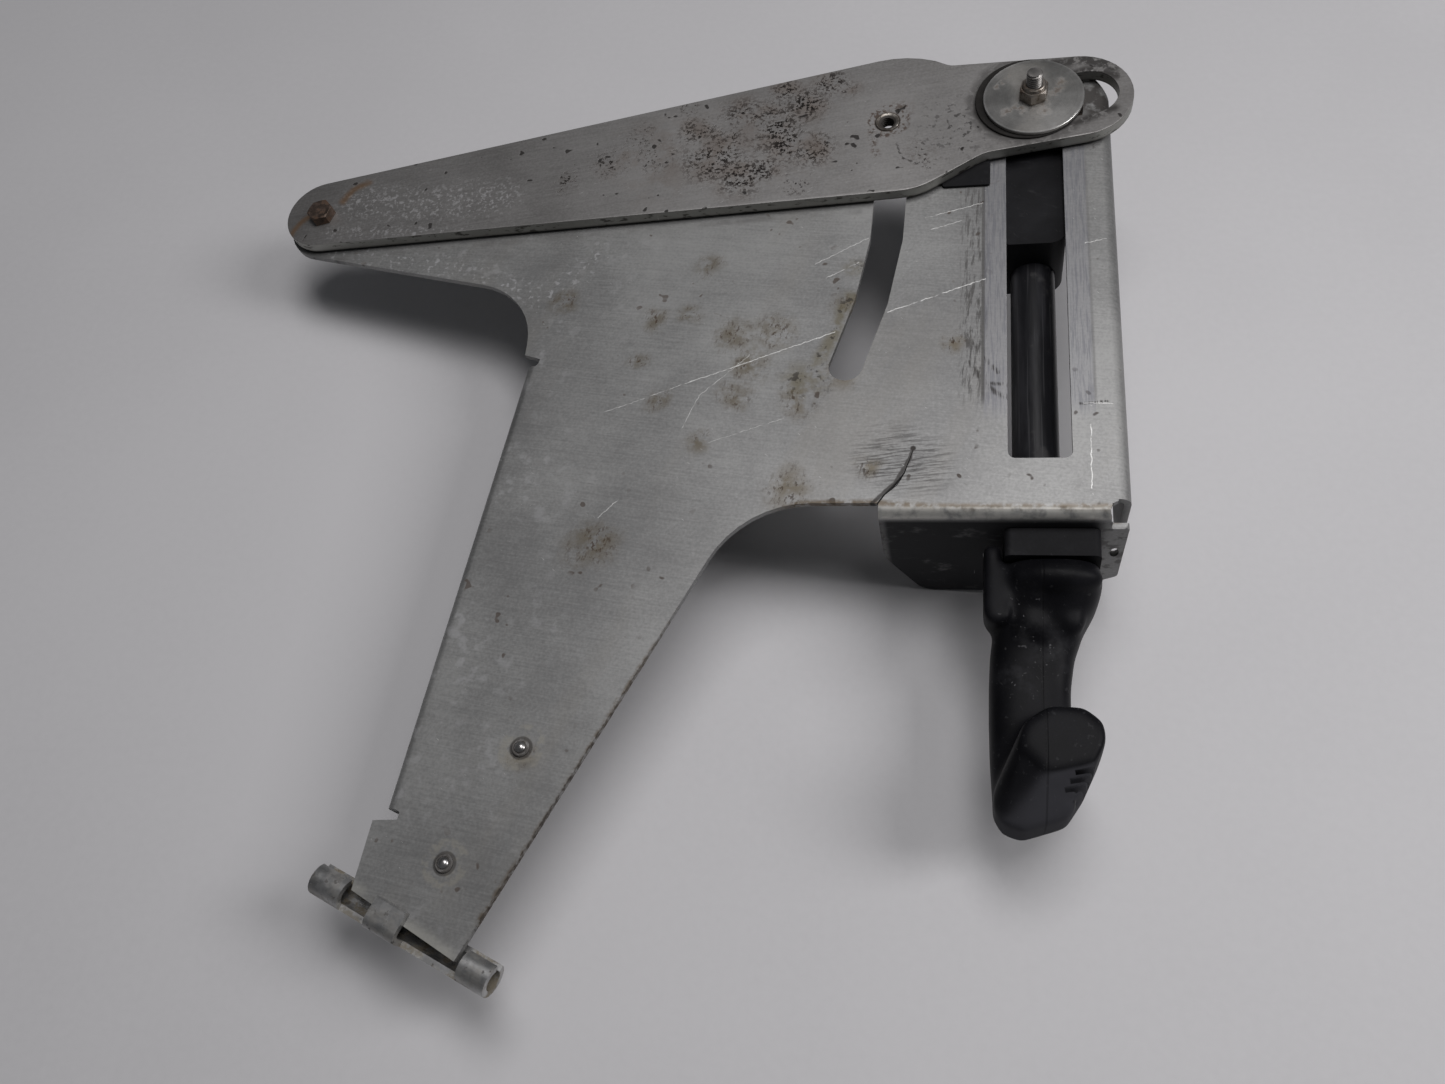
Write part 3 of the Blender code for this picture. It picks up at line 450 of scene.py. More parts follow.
def sheet_material():
    s = Surface("worn_sheet", metallic=0.9, specular=0.2)
    ragged = s.wobbled(2.2, 90.0)
    frayed = s.wobbled(0.8, 420.0)
    slow = s.noise(9.0, 4.0, 0.6)
    grain = s.noise(760.0, 2.0)
    marks = brushed(s, 8.0)
    tone = s.calc("ADD", s.times(slow, 0.9), s.times(marks, 0.24))
    tone = s.calc("ADD", tone, s.times(grain, 0.34))
    s.colour = s.mix(s.fade(tone, 0.45, 1.03), STEEL_DARK, STEEL_LIGHT)
    rough = s.calc("ADD", s.times(slow, 0.16), s.times(marks, 0.08))
    rough = s.calc("ADD", rough, 0.41)
    height = s.calc("ADD", s.times(marks, 0.14), s.times(grain, 0.30))
    left = s.fade(s.axis("X"), PIVOT.x + 230 * MM, PIVOT.x + 110 * MM)

    pale = sheet_oxide(s, left, ragged)
    sheet_smears(s, slow)
    rusty = sheet_rust(s)
    dark = s.most(sheet_window(s, grain, frayed), sheet_tear(s, ragged, frayed), sheet_slot_grime(s, ragged),
                  sheet_edges(s, ragged, frayed))
    dark_overlay = sheet_front(s)
    dark = s.most(dark, sheet_far_corner(s, ragged))
    # One dark colour for the grime marks and for the painted shadow under the lever.
    s.paint(s.times(dark, 0.92), GRIME_AND_SHADE)
    cuts = sheet_scratches(s, frayed)

    spoiled = s.most(s.times(dark, 0.8), rusty, s.times(dark_overlay, 0.45), s.times(pale, 0.6))
    dulled = s.calc("ADD", s.times(spoiled, 0.34), s.times(left, 0.10))
    rough = s.calc("ADD", rough, dulled, clamp=True)
    height = s.calc("SUBTRACT", height, s.times(s.most(cuts, rusty), 0.9))
    cover = s.times(s.most(dark, rusty, dark_overlay, s.times(pale, 0.5)), 0.8)
    metal = s.calc("SUBTRACT", 0.84, cover, clamp=True)
    return s.finish(s.colour, rough, height, 0.05, metal)


PIT_PATCHES = [
    ((251, 44), 27.0), ((270, 58), 18.0), ((236, 52), 20.0), ((222, 24), 24.0), ((238, 10), 20.0),
    ((282, 72), 14.0), ((275, 27), 18.0), ((212, 44), 16.0), ((293, 66), 9.0), ((262, 30), 20.0),
    ((228, 36), 18.0), ((258, 70), 12.0), ((250, 14), 14.0),
]
THIN_PIT_PATCHES = [
    ((190, 30), 20.0), ((165, 26), 18.0), ((180, 44), 14.0), ((268, 4), 14.0), ((330, 18), 16.0),
    ((142, 14), 12.0), ((205, 62), 10.0),
]


def lever_speckles(s, top, ragged):
    """Pale speckles over the pivot's end."""
    middle = s.path([(20, 8), (60, 4), (105, 6)], 40.0, 0.8, ragged)
    end = s.most(middle, s.stroke((8, -12), (90, -18), 14.0, 0.9, ragged))
    chalk = s.fade(s.noise(300.0, 3.0, 0.6), 0.55, 0.64)
    fine = s.fade(s.noise(520.0, 2.0), 0.56, 0.66)
    pale = s.times(end, s.most(s.times(chalk, 0.42), s.times(fine, 0.34)), top)
    s.paint(pale, (0.50, 0.50, 0.51))
    return pale


def lever_browning(s, ragged):
    """Rust bled from the bolt, and a brown ring round the threaded hole."""
    bleed = s.most(s.path([(9, 10), (14, 17), (22, 23)], 8.0, 0.95, ragged),
                   s.path([(-8, 2), (-13, -4), (-16.5, -12)], 7.0, 0.95, ragged))
    s.paint(s.times(bleed, s.fade(s.noise(90.0, 3.0), 0.2, 0.6), 0.75), (0.25, 0.15, 0.08))
    hole = s.most(s.ring(INSERT, 6.0, 12.0, ragged), s.stroke((305, 36), (309, 20), 7.0, 0.95, ragged),
                  s.spot((320, 49), 10.0, 0.95, ragged))
    spread = s.times(hole, s.fade(s.noise(380.0, 4.0, 0.65), 0.46, 0.58), 0.85)
    browned = s.most(spread, s.times(s.ring(INSERT, 5.2, 7.4), 0.8))
    s.paint(browned, (0.055, 0.033, 0.021))
    return browned


def lever_pits(s, top, grains, ragged):
    """A brown haze with dark pits in it."""
    spots = [s.spot(centre, radius * 1.2, 0.95, ragged) for centre, radius in PIT_PATCHES]
    haze_at = s.most(*spots, s.times(s.spot((190, 26), 42.0, 0.95), 0.8))
    haze = s.times(haze_at, s.fade(s.noise(70.0, 4.0), 0.40, 0.62))
    s.paint(s.times(haze, 0.65), (0.185, 0.152, 0.13))
    thick = s.most(*[s.spot(centre, radius, 0.8, ragged) for centre, radius in PIT_PATCHES])
    thin = s.most(*[s.spot(centre, radius, 0.9, ragged) for centre, radius in THIN_PIT_PATCHES])
    clump = s.fade(s.noise(62.0, 4.0, 0.7), 0.33, 0.52)
    bands = s.fade(s.noise(1.0, 3.0, 0.6, s.squeeze((45.0, 110.0, 45.0), 12.0)), 0.36, 0.56)
    dense = s.times(thick, clump, s.fade(s.calc("ADD", grains, s.times(bands, 0.05)), 0.555, 0.59))
    few = s.times(thin, s.fade(s.noise(60.0, 2.0), 0.38, 0.52), s.fade(grains, 0.575, 0.61))
    stray = s.times(s.fade(s.noise(150.0, 1.0), 0.71, 0.75), 0.9)
    pits = s.times(s.most(dense, few, stray), top)
    halo = s.times(s.most(thick, s.times(thin, 0.5)), clump, s.fade(grains, 0.46, 0.55), 0.5)
    s.paint(halo, (0.10, 0.07, 0.052))
    s.paint(pits, (0.012, 0.010, 0.009))
    return haze, pits


def lever_grease_and_shade(s, top, grains, ragged):
    """Grease round the disc, along the slot and in scuffs near them, and a painted shadow crescent beside the
    disc's lower-left edge.
    """
    worn_ring = s.most(s.ring((384.9, 50.2), 24.0, 34.0, ragged), s.ring((384.9, 50.2), 24.0, 28.6))
    across = s.calc("ADD", s.axis("X"), s.times(s.axis("Y"), 0.9))
    across_pivot = PIVOT.x + 0.9 * PIVOT.y
    lower_left = s.fade(across, across_pivot + 440 * MM, across_pivot + 395 * MM)
    # Painted shadow: a dark crescent beside the disc on its lower-left side.
    crescent_shadow = s.times(s.ring((384.4, 49.8), 24.0, 30.5, ragged), lower_left)
    far_side = s.path([(396, 74), (412, 76), (426, 68)], 13.0, 0.8, ragged)
    slot = s.path([(395, 64), (416, 68), (428, 62)], 11.0, 0.9, ragged)
    slot = s.most(slot, s.path([(400, 30), (414, 35.5), (426, 41)], 10.0, 0.95, ragged))
    dirty = s.fade(s.noise(190.0, 5.0, 0.7), 0.33, 0.52)
    along = s.times(s.most(slot, far_side), dirty, 0.9)
    scuffs = s.path([(318, 27), (322, 16), (336, 8)], 2.2, 0.9, s.wobbled(0.9, 380.0))
    scuffs = s.times(scuffs, s.fade(grains, 0.45, 0.58), 0.8)
    near_disc = s.times(s.spot((350, 36), 34.0, 0.9, ragged), s.fade(s.noise(300.0, 3.0), 0.57, 0.63), 0.8)
    grease_and_shade = s.most(s.times(worn_ring, dirty, 0.6), s.times(crescent_shadow, 0.92), along, scuffs, near_disc)
    return s.times(grease_and_shade, top)


def lever_cut_edge(s, top):
    """Pale burnished steel with dark nicks, with painted shade low down and on the walls of the slot."""
    side = s.calc("SUBTRACT", 1.0, top)
    s.paint(s.times(side, 0.55), (0.40, 0.405, 0.37))
    nicks = s.fade(s.noise(1.0, 3.0, 0.6, s.squeeze((160.0, 160.0, 420.0))), 0.56, 0.66)
    s.paint(s.times(side, nicks, 0.75), GRIME_AND_SHADE)
    # Painted shade on the slot's walls.
    slot_wall_shade = s.times(side, s.spot((408, 51), 20.0, 0.2), 0.75)
    # Painted shade along the bottom of the sides, just above the plate.
    lower = s.times(s.fade(s.axis("Z"), PIVOT.z + 3.4 * MM, PIVOT.z + 2.0 * MM), side)
    s.paint(s.times(lower, 0.55), GRIME_AND_SHADE)
    return slot_wall_shade


def lever_material():
    s = Surface("pitted_lever", metallic=0.9, specular=0.2)
    ragged = s.wobbled(2.5, 80.0)
    slow = s.noise(8.0, 4.0, 0.6)
    grain = s.noise(820.0, 2.0)
    grains = s.noise(640.0, 3.0, 0.6)
    marks = brushed(s, -8.0)
    long_marks = s.noise(1.0, 3.0, 0.6, s.squeeze((7.0, 420.0, 60.0), -8.0))
    tone = s.calc("ADD", s.times(slow, 0.8), s.times(marks, 0.22))
    tone = s.calc("ADD", tone, s.times(grain, 0.34))
    tone = s.calc("ADD", tone, s.times(long_marks, 0.14))
    s.colour = s.mix(s.fade(tone, 0.48, 1.04), (0.195, 0.188, 0.182), (0.345, 0.337, 0.33))
    rough = s.calc("ADD", s.calc("ADD", s.times(slow, 0.16), s.times(marks, 0.08)), 0.42)
    height = s.calc("ADD", s.times(marks, 0.14), s.times(grain, 0.30))
    top = s.fade(s.axis("Z"), PIVOT.z + 7.2 * MM, PIVOT.z + 7.7 * MM)

    pale = lever_speckles(s, top, ragged)
    browned = lever_browning(s, ragged)
    haze, pits = lever_pits(s, top, grains, ragged)
    grease_and_shade = lever_grease_and_shade(s, top, grains, ragged)
    # Besides greasy marks, the black coat below takes the painted shadow crescent by the disc and the painted
    # shade on the slot's walls.
    grease_and_shade = s.most(grease_and_shade, lever_cut_edge(s, top))
    s.paint(s.times(grease_and_shade, 0.95), (0.016, 0.014, 0.013))
    lightly = s.fade(s.noise(1.0, 1.0, 0.5, s.squeeze((200.0, 3000.0, 60.0), -30.0)), 0.76, 0.80)
    s.paint(s.times(lightly, s.fade(slow, 0.45, 0.6), 0.6), SCRATCH_AND_GLINT)

    spoiled = s.most(pits, grease_and_shade, s.times(haze, 0.4), browned, s.times(pale, 0.6))
    rough = s.calc("ADD", rough, s.times(spoiled, 0.3), clamp=True)
    height = s.calc("SUBTRACT", height, s.times(pits, 2.2))
    cover = s.times(s.most(pits, grease_and_shade, browned, s.times(pale, 0.6)), 0.78)
    metal = s.calc("SUBTRACT", 0.84, cover, clamp=True)
    return s.finish(s.colour, rough, height, 0.07, metal)


def hinge_material():
    s = Surface("grimy_hinge", metallic=0.85, specular=0.3)
    slow = s.noise(22.0, 4.0, 0.6)
    grain = s.noise(700.0, 2.0)
    marks = brushed(s, 22.0, 1200.0)
    tone = s.calc("ADD", slow, s.times(s.calc("ADD", marks, grain), 0.3))
    colour = s.mix(s.fade(tone, 0.55, 1.05), (0.27, 0.27, 0.27), (0.46, 0.46, 0.455))
    chalk = s.fade(s.noise(120.0, 4.0, 0.6), 0.50, 0.66)
    colour = s.mix(s.times(chalk, 0.5), colour, (0.60, 0.60, 0.59))
    low = s.fade(s.axis("Z"), PIVOT.z - 3.5 * MM, PIVOT.z - 8.5 * MM)
    crust = s.times(s.fade(s.noise(150.0, 5.0, 0.65), 0.42, 0.58), s.calc("ADD", s.times(low, 0.6), 0.22))
    colour = s.mix(crust, colour, (0.17, 0.14, 0.09))
    dirt = s.fade(s.noise(260.0, 4.0, 0.6), 0.60, 0.68)
    colour = s.mix(s.times(dirt, 0.75), colour, GRIME_AND_SHADE)
    spoiled = s.most(crust, dirt)
    rough = s.calc("ADD", s.calc("ADD", s.times(slow, 0.25), 0.3), s.times(spoiled, 0.3), clamp=True)
    height = s.calc("ADD", s.times(grain, 0.4), s.times(crust, 0.9))
    metal = s.calc("SUBTRACT", 0.9, s.times(spoiled, 0.7), clamp=True)
    return s.finish(colour, rough, height, 0.08, metal)


def fastener_material(name, light, dark, brown, share, roughness=0.26):
    """Turned or forged steel: a metal tone, browned where noise is high."""
    s = Surface(name, metallic=0.95)
    slow = s.noise(130.0, 3.0, 0.6)
    grain = s.noise(1300.0, 2.0)
    colour = s.mix(s.fade(s.calc("ADD", slow, s.times(grain, 0.4)), 0.5, 0.9), dark, light)
    stain = s.fade(s.noise(240.0, 5.0, 0.65), 0.62 - 0.25 * share, 0.74 - 0.25 * share)
    colour = s.mix(s.times(stain, 0.85), colour, brown)
    pit = s.fade(s.noise(900.0, 2.0), 0.64, 0.70)
    colour = s.mix(s.times(pit, 0.6), colour, GRIME_AND_SHADE)
    rough = s.calc("ADD", s.calc("ADD", roughness, s.times(slow, 0.18)), s.times(stain, 0.3), clamp=True)
    metal = s.calc("SUBTRACT", 0.95, s.times(stain, 0.6), clamp=True)
    height = s.calc("SUBTRACT", s.times(grain, 0.3), s.times(s.most(stain, pit), 0.5))
    return s.finish(colour, rough, height, 0.04, metal)


def disc_material():
    s = Surface("smeared_disc", metallic=0.95)
    ragged = s.wobbled(1.6, 160.0)
    centre = place(*DISC)
    radius = s.vector("DISTANCE", s.flat, (centre.x, centre.y, 0.0))
    offset = s.vector("SUBTRACT", s.flat, (centre.x, centre.y, 0.0))
    turned = s.add("ShaderNodeTexNoise", noise_dimensions="1D")
    s.feed(turned.inputs["W"], s.times(radius, 2600.0))
    turned.inputs["Scale"].default_value = 1.0
    turned.inputs["Detail"].default_value = 2.0
    rings = turned.outputs["Fac"]
    slow = s.noise(40.0, 4.0, 0.6)
    grain = s.noise(900.0, 2.0)
    tone = s.calc("ADD", s.calc("ADD", s.times(slow, 0.8), s.times(rings, 0.25)), s.times(grain, 0.25))
    colour = s.mix(s.fade(tone, 0.45, 0.95), (0.34, 0.335, 0.32), (0.60, 0.59, 0.57))
    smears = s.most(s.path([(372, 39), (380, 42), (384, 36)], 7.0, 0.95, ragged),
                    s.path([(390, 43), (396, 47), (401, 58)], 8.0, 0.95, ragged),
                    s.spot(DISC, 13.0, 0.9, ragged), s.spot((392, 38), 5.0, 0.95, ragged),
                    s.path([(369, 57), (374, 64)], 5.0, 0.95, ragged))
    brown = s.times(smears, s.fade(s.noise(230.0, 4.0, 0.65), 0.42, 0.58), 0.8)
    colour = s.mix(brown, colour, (0.06, 0.038, 0.024))
    dark_overlay = s.times(s.fade(s.noise(28.0, 3.0), 0.5, 0.7), 0.3)
    colour = s.mix(dark_overlay, colour, (0.24, 0.215, 0.18))
    # Painted highlight: a pale band round the disc's rim.
    rim = s.fade(s.vector("LENGTH", offset), 23.6 * MM, 24.8 * MM)
    colour = s.mix(s.times(rim, 0.35), colour, SCRATCH_AND_GLINT)
    dulled = s.times(s.most(brown, dark_overlay), 0.35)
    rough = s.calc("ADD", s.calc("ADD", s.times(slow, 0.2), 0.22), dulled, clamp=True)
    height = s.calc("ADD", s.times(rings, 0.5), s.times(grain, 0.2))
    metal = s.calc("SUBTRACT", 0.95, s.times(brown, 0.7), clamp=True)
    return s.finish(colour, rough, height, 0.03, metal)


def plastic_material(name, base, roughness, dust=0.3, grain_scale=1500.0, relief=0.05):
    """Moulded black plastic: fine grain, dusty scuffs and small nicks."""
    s = Surface(name, metallic=0.0, specular=0.15)
    slow = s.noise(38.0, 4.0, 0.6)
    grain = s.noise(grain_scale, 2.0)
    lighter = tuple(v * 1.8 + 0.003 for v in base)
    colour = s.mix(s.fade(s.calc("ADD", slow, s.times(grain, 0.25)), 0.45, 0.85), base, lighter)
    rubs = s.fade(s.noise(1.0, 4.0, 0.65, s.squeeze((90.0, 260.0, 90.0), 20.0)), 0.56, 0.72)
    scuff = s.times(rubs, s.fade(slow, 0.42, 0.62))
    colour = s.mix(s.times(scuff, dust), colour, (0.16, 0.16, 0.165))
    nick = s.fade(s.noise(1.0, 1.0, 0.5, s.squeeze((300.0, 2200.0, 300.0), 50.0)), 0.75, 0.80)
    colour = s.mix(s.times(nick, dust), colour, (0.24, 0.24, 0.245))
    rough = s.calc("ADD", s.calc("ADD", roughness, s.times(slow, 0.14)), s.times(scuff, 0.18), clamp=True)
    height = s.calc("ADD", s.times(grain, 0.8), s.times(slow, 0.6))
    return s.finish(colour, rough, height, relief)


def grip_material():
    s = Surface("grip_plastic", metallic=0.0, specular=0.09)
    ragged = s.wobbled(2.0, 110.0)
    slow = s.noise(30.0, 4.0, 0.6)
    grain = s.noise(1500.0, 2.0)
    tone = s.calc("ADD", slow, s.times(grain, 0.25))
    colour = s.mix(s.fade(tone, 0.45, 0.85), (0.004, 0.004, 0.005), (0.010, 0.010, 0.012))

    # Faces of the pommel that lean towards -Y are painted a lighter grey as a painted reflection, and made
    # rougher; its crown keeps the plain black.
    lean = s.axis("Y", s.add("ShaderNodeNewGeometry").outputs["Normal"])
    # Painted reflection on the pommel's faces that turn towards -Y.
    pommel_sheen = s.times(s.fade(s.axis("Y"), PIVOT.y - 270 * MM, PIVOT.y - 280 * MM), s.fade(lean, -0.30, -0.62))
    colour = s.mix(s.times(pommel_sheen, s.fade(slow, 0.25, 0.6, 0.75, 1.0)), colour, (0.044, 0.044, 0.050))
    smudge = s.most(s.spot((381, -226), 17.0, 0.95, ragged), s.spot((392, -238), 15.0, 0.95, ragged),
                    s.spot((378, -250), 13.0, 0.95, ragged))
    dust = s.times(smudge, s.fade(s.noise(60.0, 4.0, 0.65), 0.48, 0.7), 0.42)
    colour = s.mix(dust, colour, (0.06, 0.06, 0.064))
    nick = s.fade(s.noise(1.0, 1.0, 0.5, s.squeeze((300.0, 2200.0, 300.0), 50.0)), 0.74, 0.79)
    flecks = s.times(s.fade(s.noise(420.0, 2.0), 0.66, 0.71), s.calc("ADD", s.times(smudge, 0.6), 0.10))
    colour = s.mix(s.most(s.times(nick, 0.22), flecks), colour, (0.13, 0.13, 0.135))
    seam = s.calc("ABSOLUTE", s.calc("SUBTRACT", s.axis("X"), PIVOT.x + GRIP_SEAM_X * MM))
    seam = s.fade(seam, 0.25 * MM, 0.6 * MM, 1.0, 0.0)
    colour = s.mix(s.times(seam, 0.3), colour, (0.004, 0.004, 0.004))
    dulled = s.times(s.most(dust, pommel_sheen), 0.3)
    rough = s.calc("ADD", s.calc("ADD", 0.40, s.times(slow, 0.16)), dulled, clamp=True)
    height = s.calc("ADD", s.times(grain, 0.8), s.times(slow, 1.2))
    height = s.calc("SUBTRACT", height, s.times(seam, 2.5))
    return s.finish(colour, rough, height, 0.06)


def rod_material():
    s = Surface("rod_sleeve_gloss", metallic=0.0, specular=0.28)
    slow = s.noise(1.0, 4.0, 0.6, s.squeeze((160.0, 18.0, 160.0)))
    grain = s.noise(1200.0, 2.0)
    colour = s.mix(s.fade(slow, 0.4, 0.7), (0.012, 0.012, 0.014), (0.03, 0.03, 0.034))
    streak = s.fade(s.noise(1.0, 2.0, 0.6, s.squeeze((1100.0, 14.0, 1100.0))), 0.60, 0.70)
    colour = s.mix(s.times(streak, 0.35), colour, (0.10, 0.10, 0.105))
    dusty = s.fade(s.noise(90.0, 4.0), 0.58, 0.72)
    colour = s.mix(s.times(dusty, 0.2), colour, (0.15, 0.145, 0.14))
    rough = s.calc("ADD", s.calc("ADD", 0.30, s.times(slow, 0.15)), s.times(dusty, 0.25), clamp=True)
    height = s.calc("ADD", s.times(grain, 0.4), s.times(streak, 0.4))
    return s.finish(colour, rough, height, 0.04)


def floor_material():
    s = Surface("pale_table", metallic=0.0, specular=0.25)
    slow = s.noise(1.6, 4.0, 0.6)
    fine = s.noise(240.0, 3.0)
    tone = s.calc("ADD", s.times(slow, 0.8), s.times(fine, 0.2))
    colour = s.mix(s.fade(tone, 0.35, 0.65), (0.545, 0.54, 0.55), (0.585, 0.58, 0.59))
    rough = s.calc("ADD", 0.5, s.times(slow, 0.2))
    return s.finish(colour, rough, fine, 0.03)


# ---------------------------------------------------------------- pieces


def edge_angles(mesh):
    """For each edge by the places of its two ends, the normals of the faces that meet there."""
    meeting = {}
    for face in mesh.polygons:
        corners = [tuple(round(c / WELD_M) for c in mesh.vertices[i].co) for i in face.vertices]
        for a, b in zip(corners, corners[1:] + corners[:1]):
            meeting.setdefault(frozenset((a, b)), []).append(face.normal.copy())
    return meeting


def smooth_node(obj, sharp=SHARP_DEGREES):
    """Shades a CAD node smooth between its sharp edges, with its own vertices left as they are."""
    mesh = obj.data
    if "custom_normal" in mesh.attributes:
        mesh.attributes.remove(mesh.attributes["custom_normal"])
    meeting = edge_angles(mesh)
    for face in mesh.polygons:
        face.use_smooth = True
    for edge in mesh.edges:
        ends = frozenset(tuple(round(c / WELD_M) for c in mesh.vertices[i].co) for i in edge.vertices)
        normals = meeting.get(ends, [])
        flat = len(normals) == 2 and normals[0].length > 0 and normals[1].length > 0
        edge.use_edge_sharp = not flat or normals[0].angle(normals[1]) > math.radians(sharp)
    weld = obj.modifiers.new("weld", "WELD")
    weld.merge_threshold = WELD_M
    even = obj.modifiers.new("even", "WEIGHTED_NORMAL")
    even.mode = "FACE_AREA"
    even.weight = 100
    even.keep_sharp = True


def dress(obj, material):
    obj.data.materials.clear()
    obj.data.materials.append(material)


def body_from(name, shape, material, body):
    """Makes a piece from a bmesh in the frame's metres."""
    mesh = bpy.data.meshes.new(name)
    shape.to_mesh(mesh)
    shape.free()
    piece = bpy.data.objects.new(name, mesh)
    bpy.context.scene.collection.objects.link(piece)
    dress(piece, material)
    for face in mesh.polygons:
        face.use_smooth = True
    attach(piece, body)
    return piece


def add_ring(shape, centre, z, radii):
    """One ring of corners about a vertical axis, with its radii in millimetres."""
    ring = []
    for j, radius in enumerate(radii):
        angle = 2 * math.pi * j / len(radii)
        x = centre.x + radius * MM * math.cos(angle)
        y = centre.y + radius * MM * math.sin(angle)
        ring.append(shape.verts.new((x, y, z)))
    return ring


def join_rings(shape, rings):
    for near, far in zip(rings, rings[1:]):
        for j in range(len(near)):
            k = (j + 1) % len(near)
            shape.faces.new((near[j], near[k], far[k], far[j]))


def ridges(z):
    """Round a thread at one height: 0 in its groove, 1 on its crest, climbing one pitch each turn."""
    phases = [(z / (THREAD_PITCH * MM) - j / AROUND) % 1.0 for j in range(AROUND)]
    return [min(1.0, 1.25 * (1.0 - abs(2.0 * phase - 1.0))) for phase in phases]


def stud_thread():
    """The stud as a threaded pin with a tapered tip."""
    low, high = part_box("slide_stud")
    centre = (low + high) / 2
    rows = int((high.z - low.z) / (THREAD_PITCH * MM / 8)) + 1
    shape = bmesh.new()
    rings = []
    for i in range(rows + 1):
        z = low.z + (high.z - low.z) * i / rows
        tip = 1.0 - min(1.0, (high.z - z) / (0.9 * MM))
        radii = [3.4 + 0.6 * ridge - 0.55 * tip for ridge in ridges(z - low.z)]
        rings.append(add_ring(shape, centre, z, radii))
    join_rings(shape, rings)
    shape.faces.new(rings[0][::-1])
    shape.faces.new(rings[-1])
    bmesh.ops.recalc_face_normals(shape, faces=shape.faces)
    piece = body_from("slide_stud_thread", shape, stud_material(), "slider")
    piece.data.set_sharp_from_angle(angle=math.radians(40))
    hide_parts("slide_stud")


def insert_thread():
    """The lever's insert: a collared sleeve with a thread down its bore."""
    low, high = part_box("threaded_insert")
    centre = (low + high) / 2
    foot = low.z - INSERT_FOOT * MM
    mouth = high.z - 0.8 * MM
    shape = bmesh.new()
    outline = [(6.25, foot), (6.25, high.z - 0.35 * MM), (5.9, high.z), (5.2, high.z), (4.15, mouth)]
    rings = [add_ring(shape, centre, z, [radius] * AROUND) for radius, z in outline]
    rows = int((mouth - foot) / (THREAD_PITCH * MM / 8)) + 1
    for i in range(1, rows + 1):
        z = mouth + (foot - mouth) * i / rows
        rings.append(add_ring(shape, centre, z, [4.05 - 0.73 * ridge for ridge in ridges(z - foot)]))
    join_rings(shape, rings + rings[:1])
    bmesh.ops.recalc_face_normals(shape, faces=shape.faces)
    piece = body_from("lever_insert_thread", shape, insert_material(), "lever")
    piece.data.set_sharp_from_angle(angle=math.radians(40))
    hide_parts("threaded_insert")


def slanted_box(centre, half, turn, low, high):
    """A cutter: a box turned about Z, in millimetres about the pivot."""
    c, s = math.cos(turn), math.sin(turn)
    shape = bmesh.new()
    rows = []
    for z in (low, high):
        row = []
        for a, b in ((-half[0], -half[1]), (half[0], -half[1]), (half[0], half[1]), (-half[0], half[1])):
            row.append(shape.verts.new(place(centre[0] + a * c - b * s, centre[1] + a * s + b * c, z)))
        rows.append(row)
    shape.faces.new(rows[0][::-1])
    shape.faces.new(rows[1])
    for j in range(4):
        k = (j + 1) % 4
        shape.faces.new((rows[0][j], rows[0][k], rows[1][k], rows[1][j]))
    mesh = bpy.data.meshes.new("cutter")
    shape.to_mesh(mesh)
    shape.free()
    cutter = bpy.data.objects.new("cutter", mesh)
    bpy.context.scene.collection.objects.link(cutter)
    return cutter


def baked(obj):
    """Puts the object's modifiers into its mesh."""
    graph = bpy.context.evaluated_depsgraph_get()
    made = bpy.data.meshes.new_from_object(obj.evaluated_get(graph))
    obj.modifiers.clear()
    obj.data = made


def moulded_grip(material):
    """The grip's two halves as one smooth moulding, with the grooves of its pommel."""
    shape = bmesh.new()
    for node in GRIP_HALVES:
        shape.from_mesh(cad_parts[node].data)
    bmesh.ops.remove_doubles(shape, verts=shape.verts, dist=WELD_M)
    piece = body_from("grip_moulding", shape, material, "slider")
    remesh = piece.modifiers.new("even", "REMESH")
    remesh.mode = "VOXEL"
    remesh.voxel_size = GRIP_VOXEL * MM
    relax = piece.modifiers.new("relax", "SMOOTH")
    relax.factor = 0.5
    relax.iterations = GRIP_RELAX_ROUNDS
    baked(piece)
    cutters = []
    for i in range(GROOVES):
        at = (GROOVE_AT[0] - GROOVE_STEP[0] * i, GROOVE_AT[1] - GROOVE_STEP[1] * i)
        cutters.append(slanted_box(at, GROOVE_HALF, GROOVE_TURN, -31.0 - 4.0 * i, 8.0))
    for cutter in cutters:
        cut = piece.modifiers.new("groove", "BOOLEAN")
        cut.object = cutter
        cut.operation = "DIFFERENCE"
        cut.solver = "EXACT"
    baked(piece)
    for cutter in cutters:
        bpy.data.objects.remove(cutter, do_unlink=True)
    for face in piece.data.polygons:
        face.use_smooth = True
    piece.data.set_sharp_from_angle(angle=math.radians(50))
    dress(piece, material)
    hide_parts(*GRIP_HALVES)


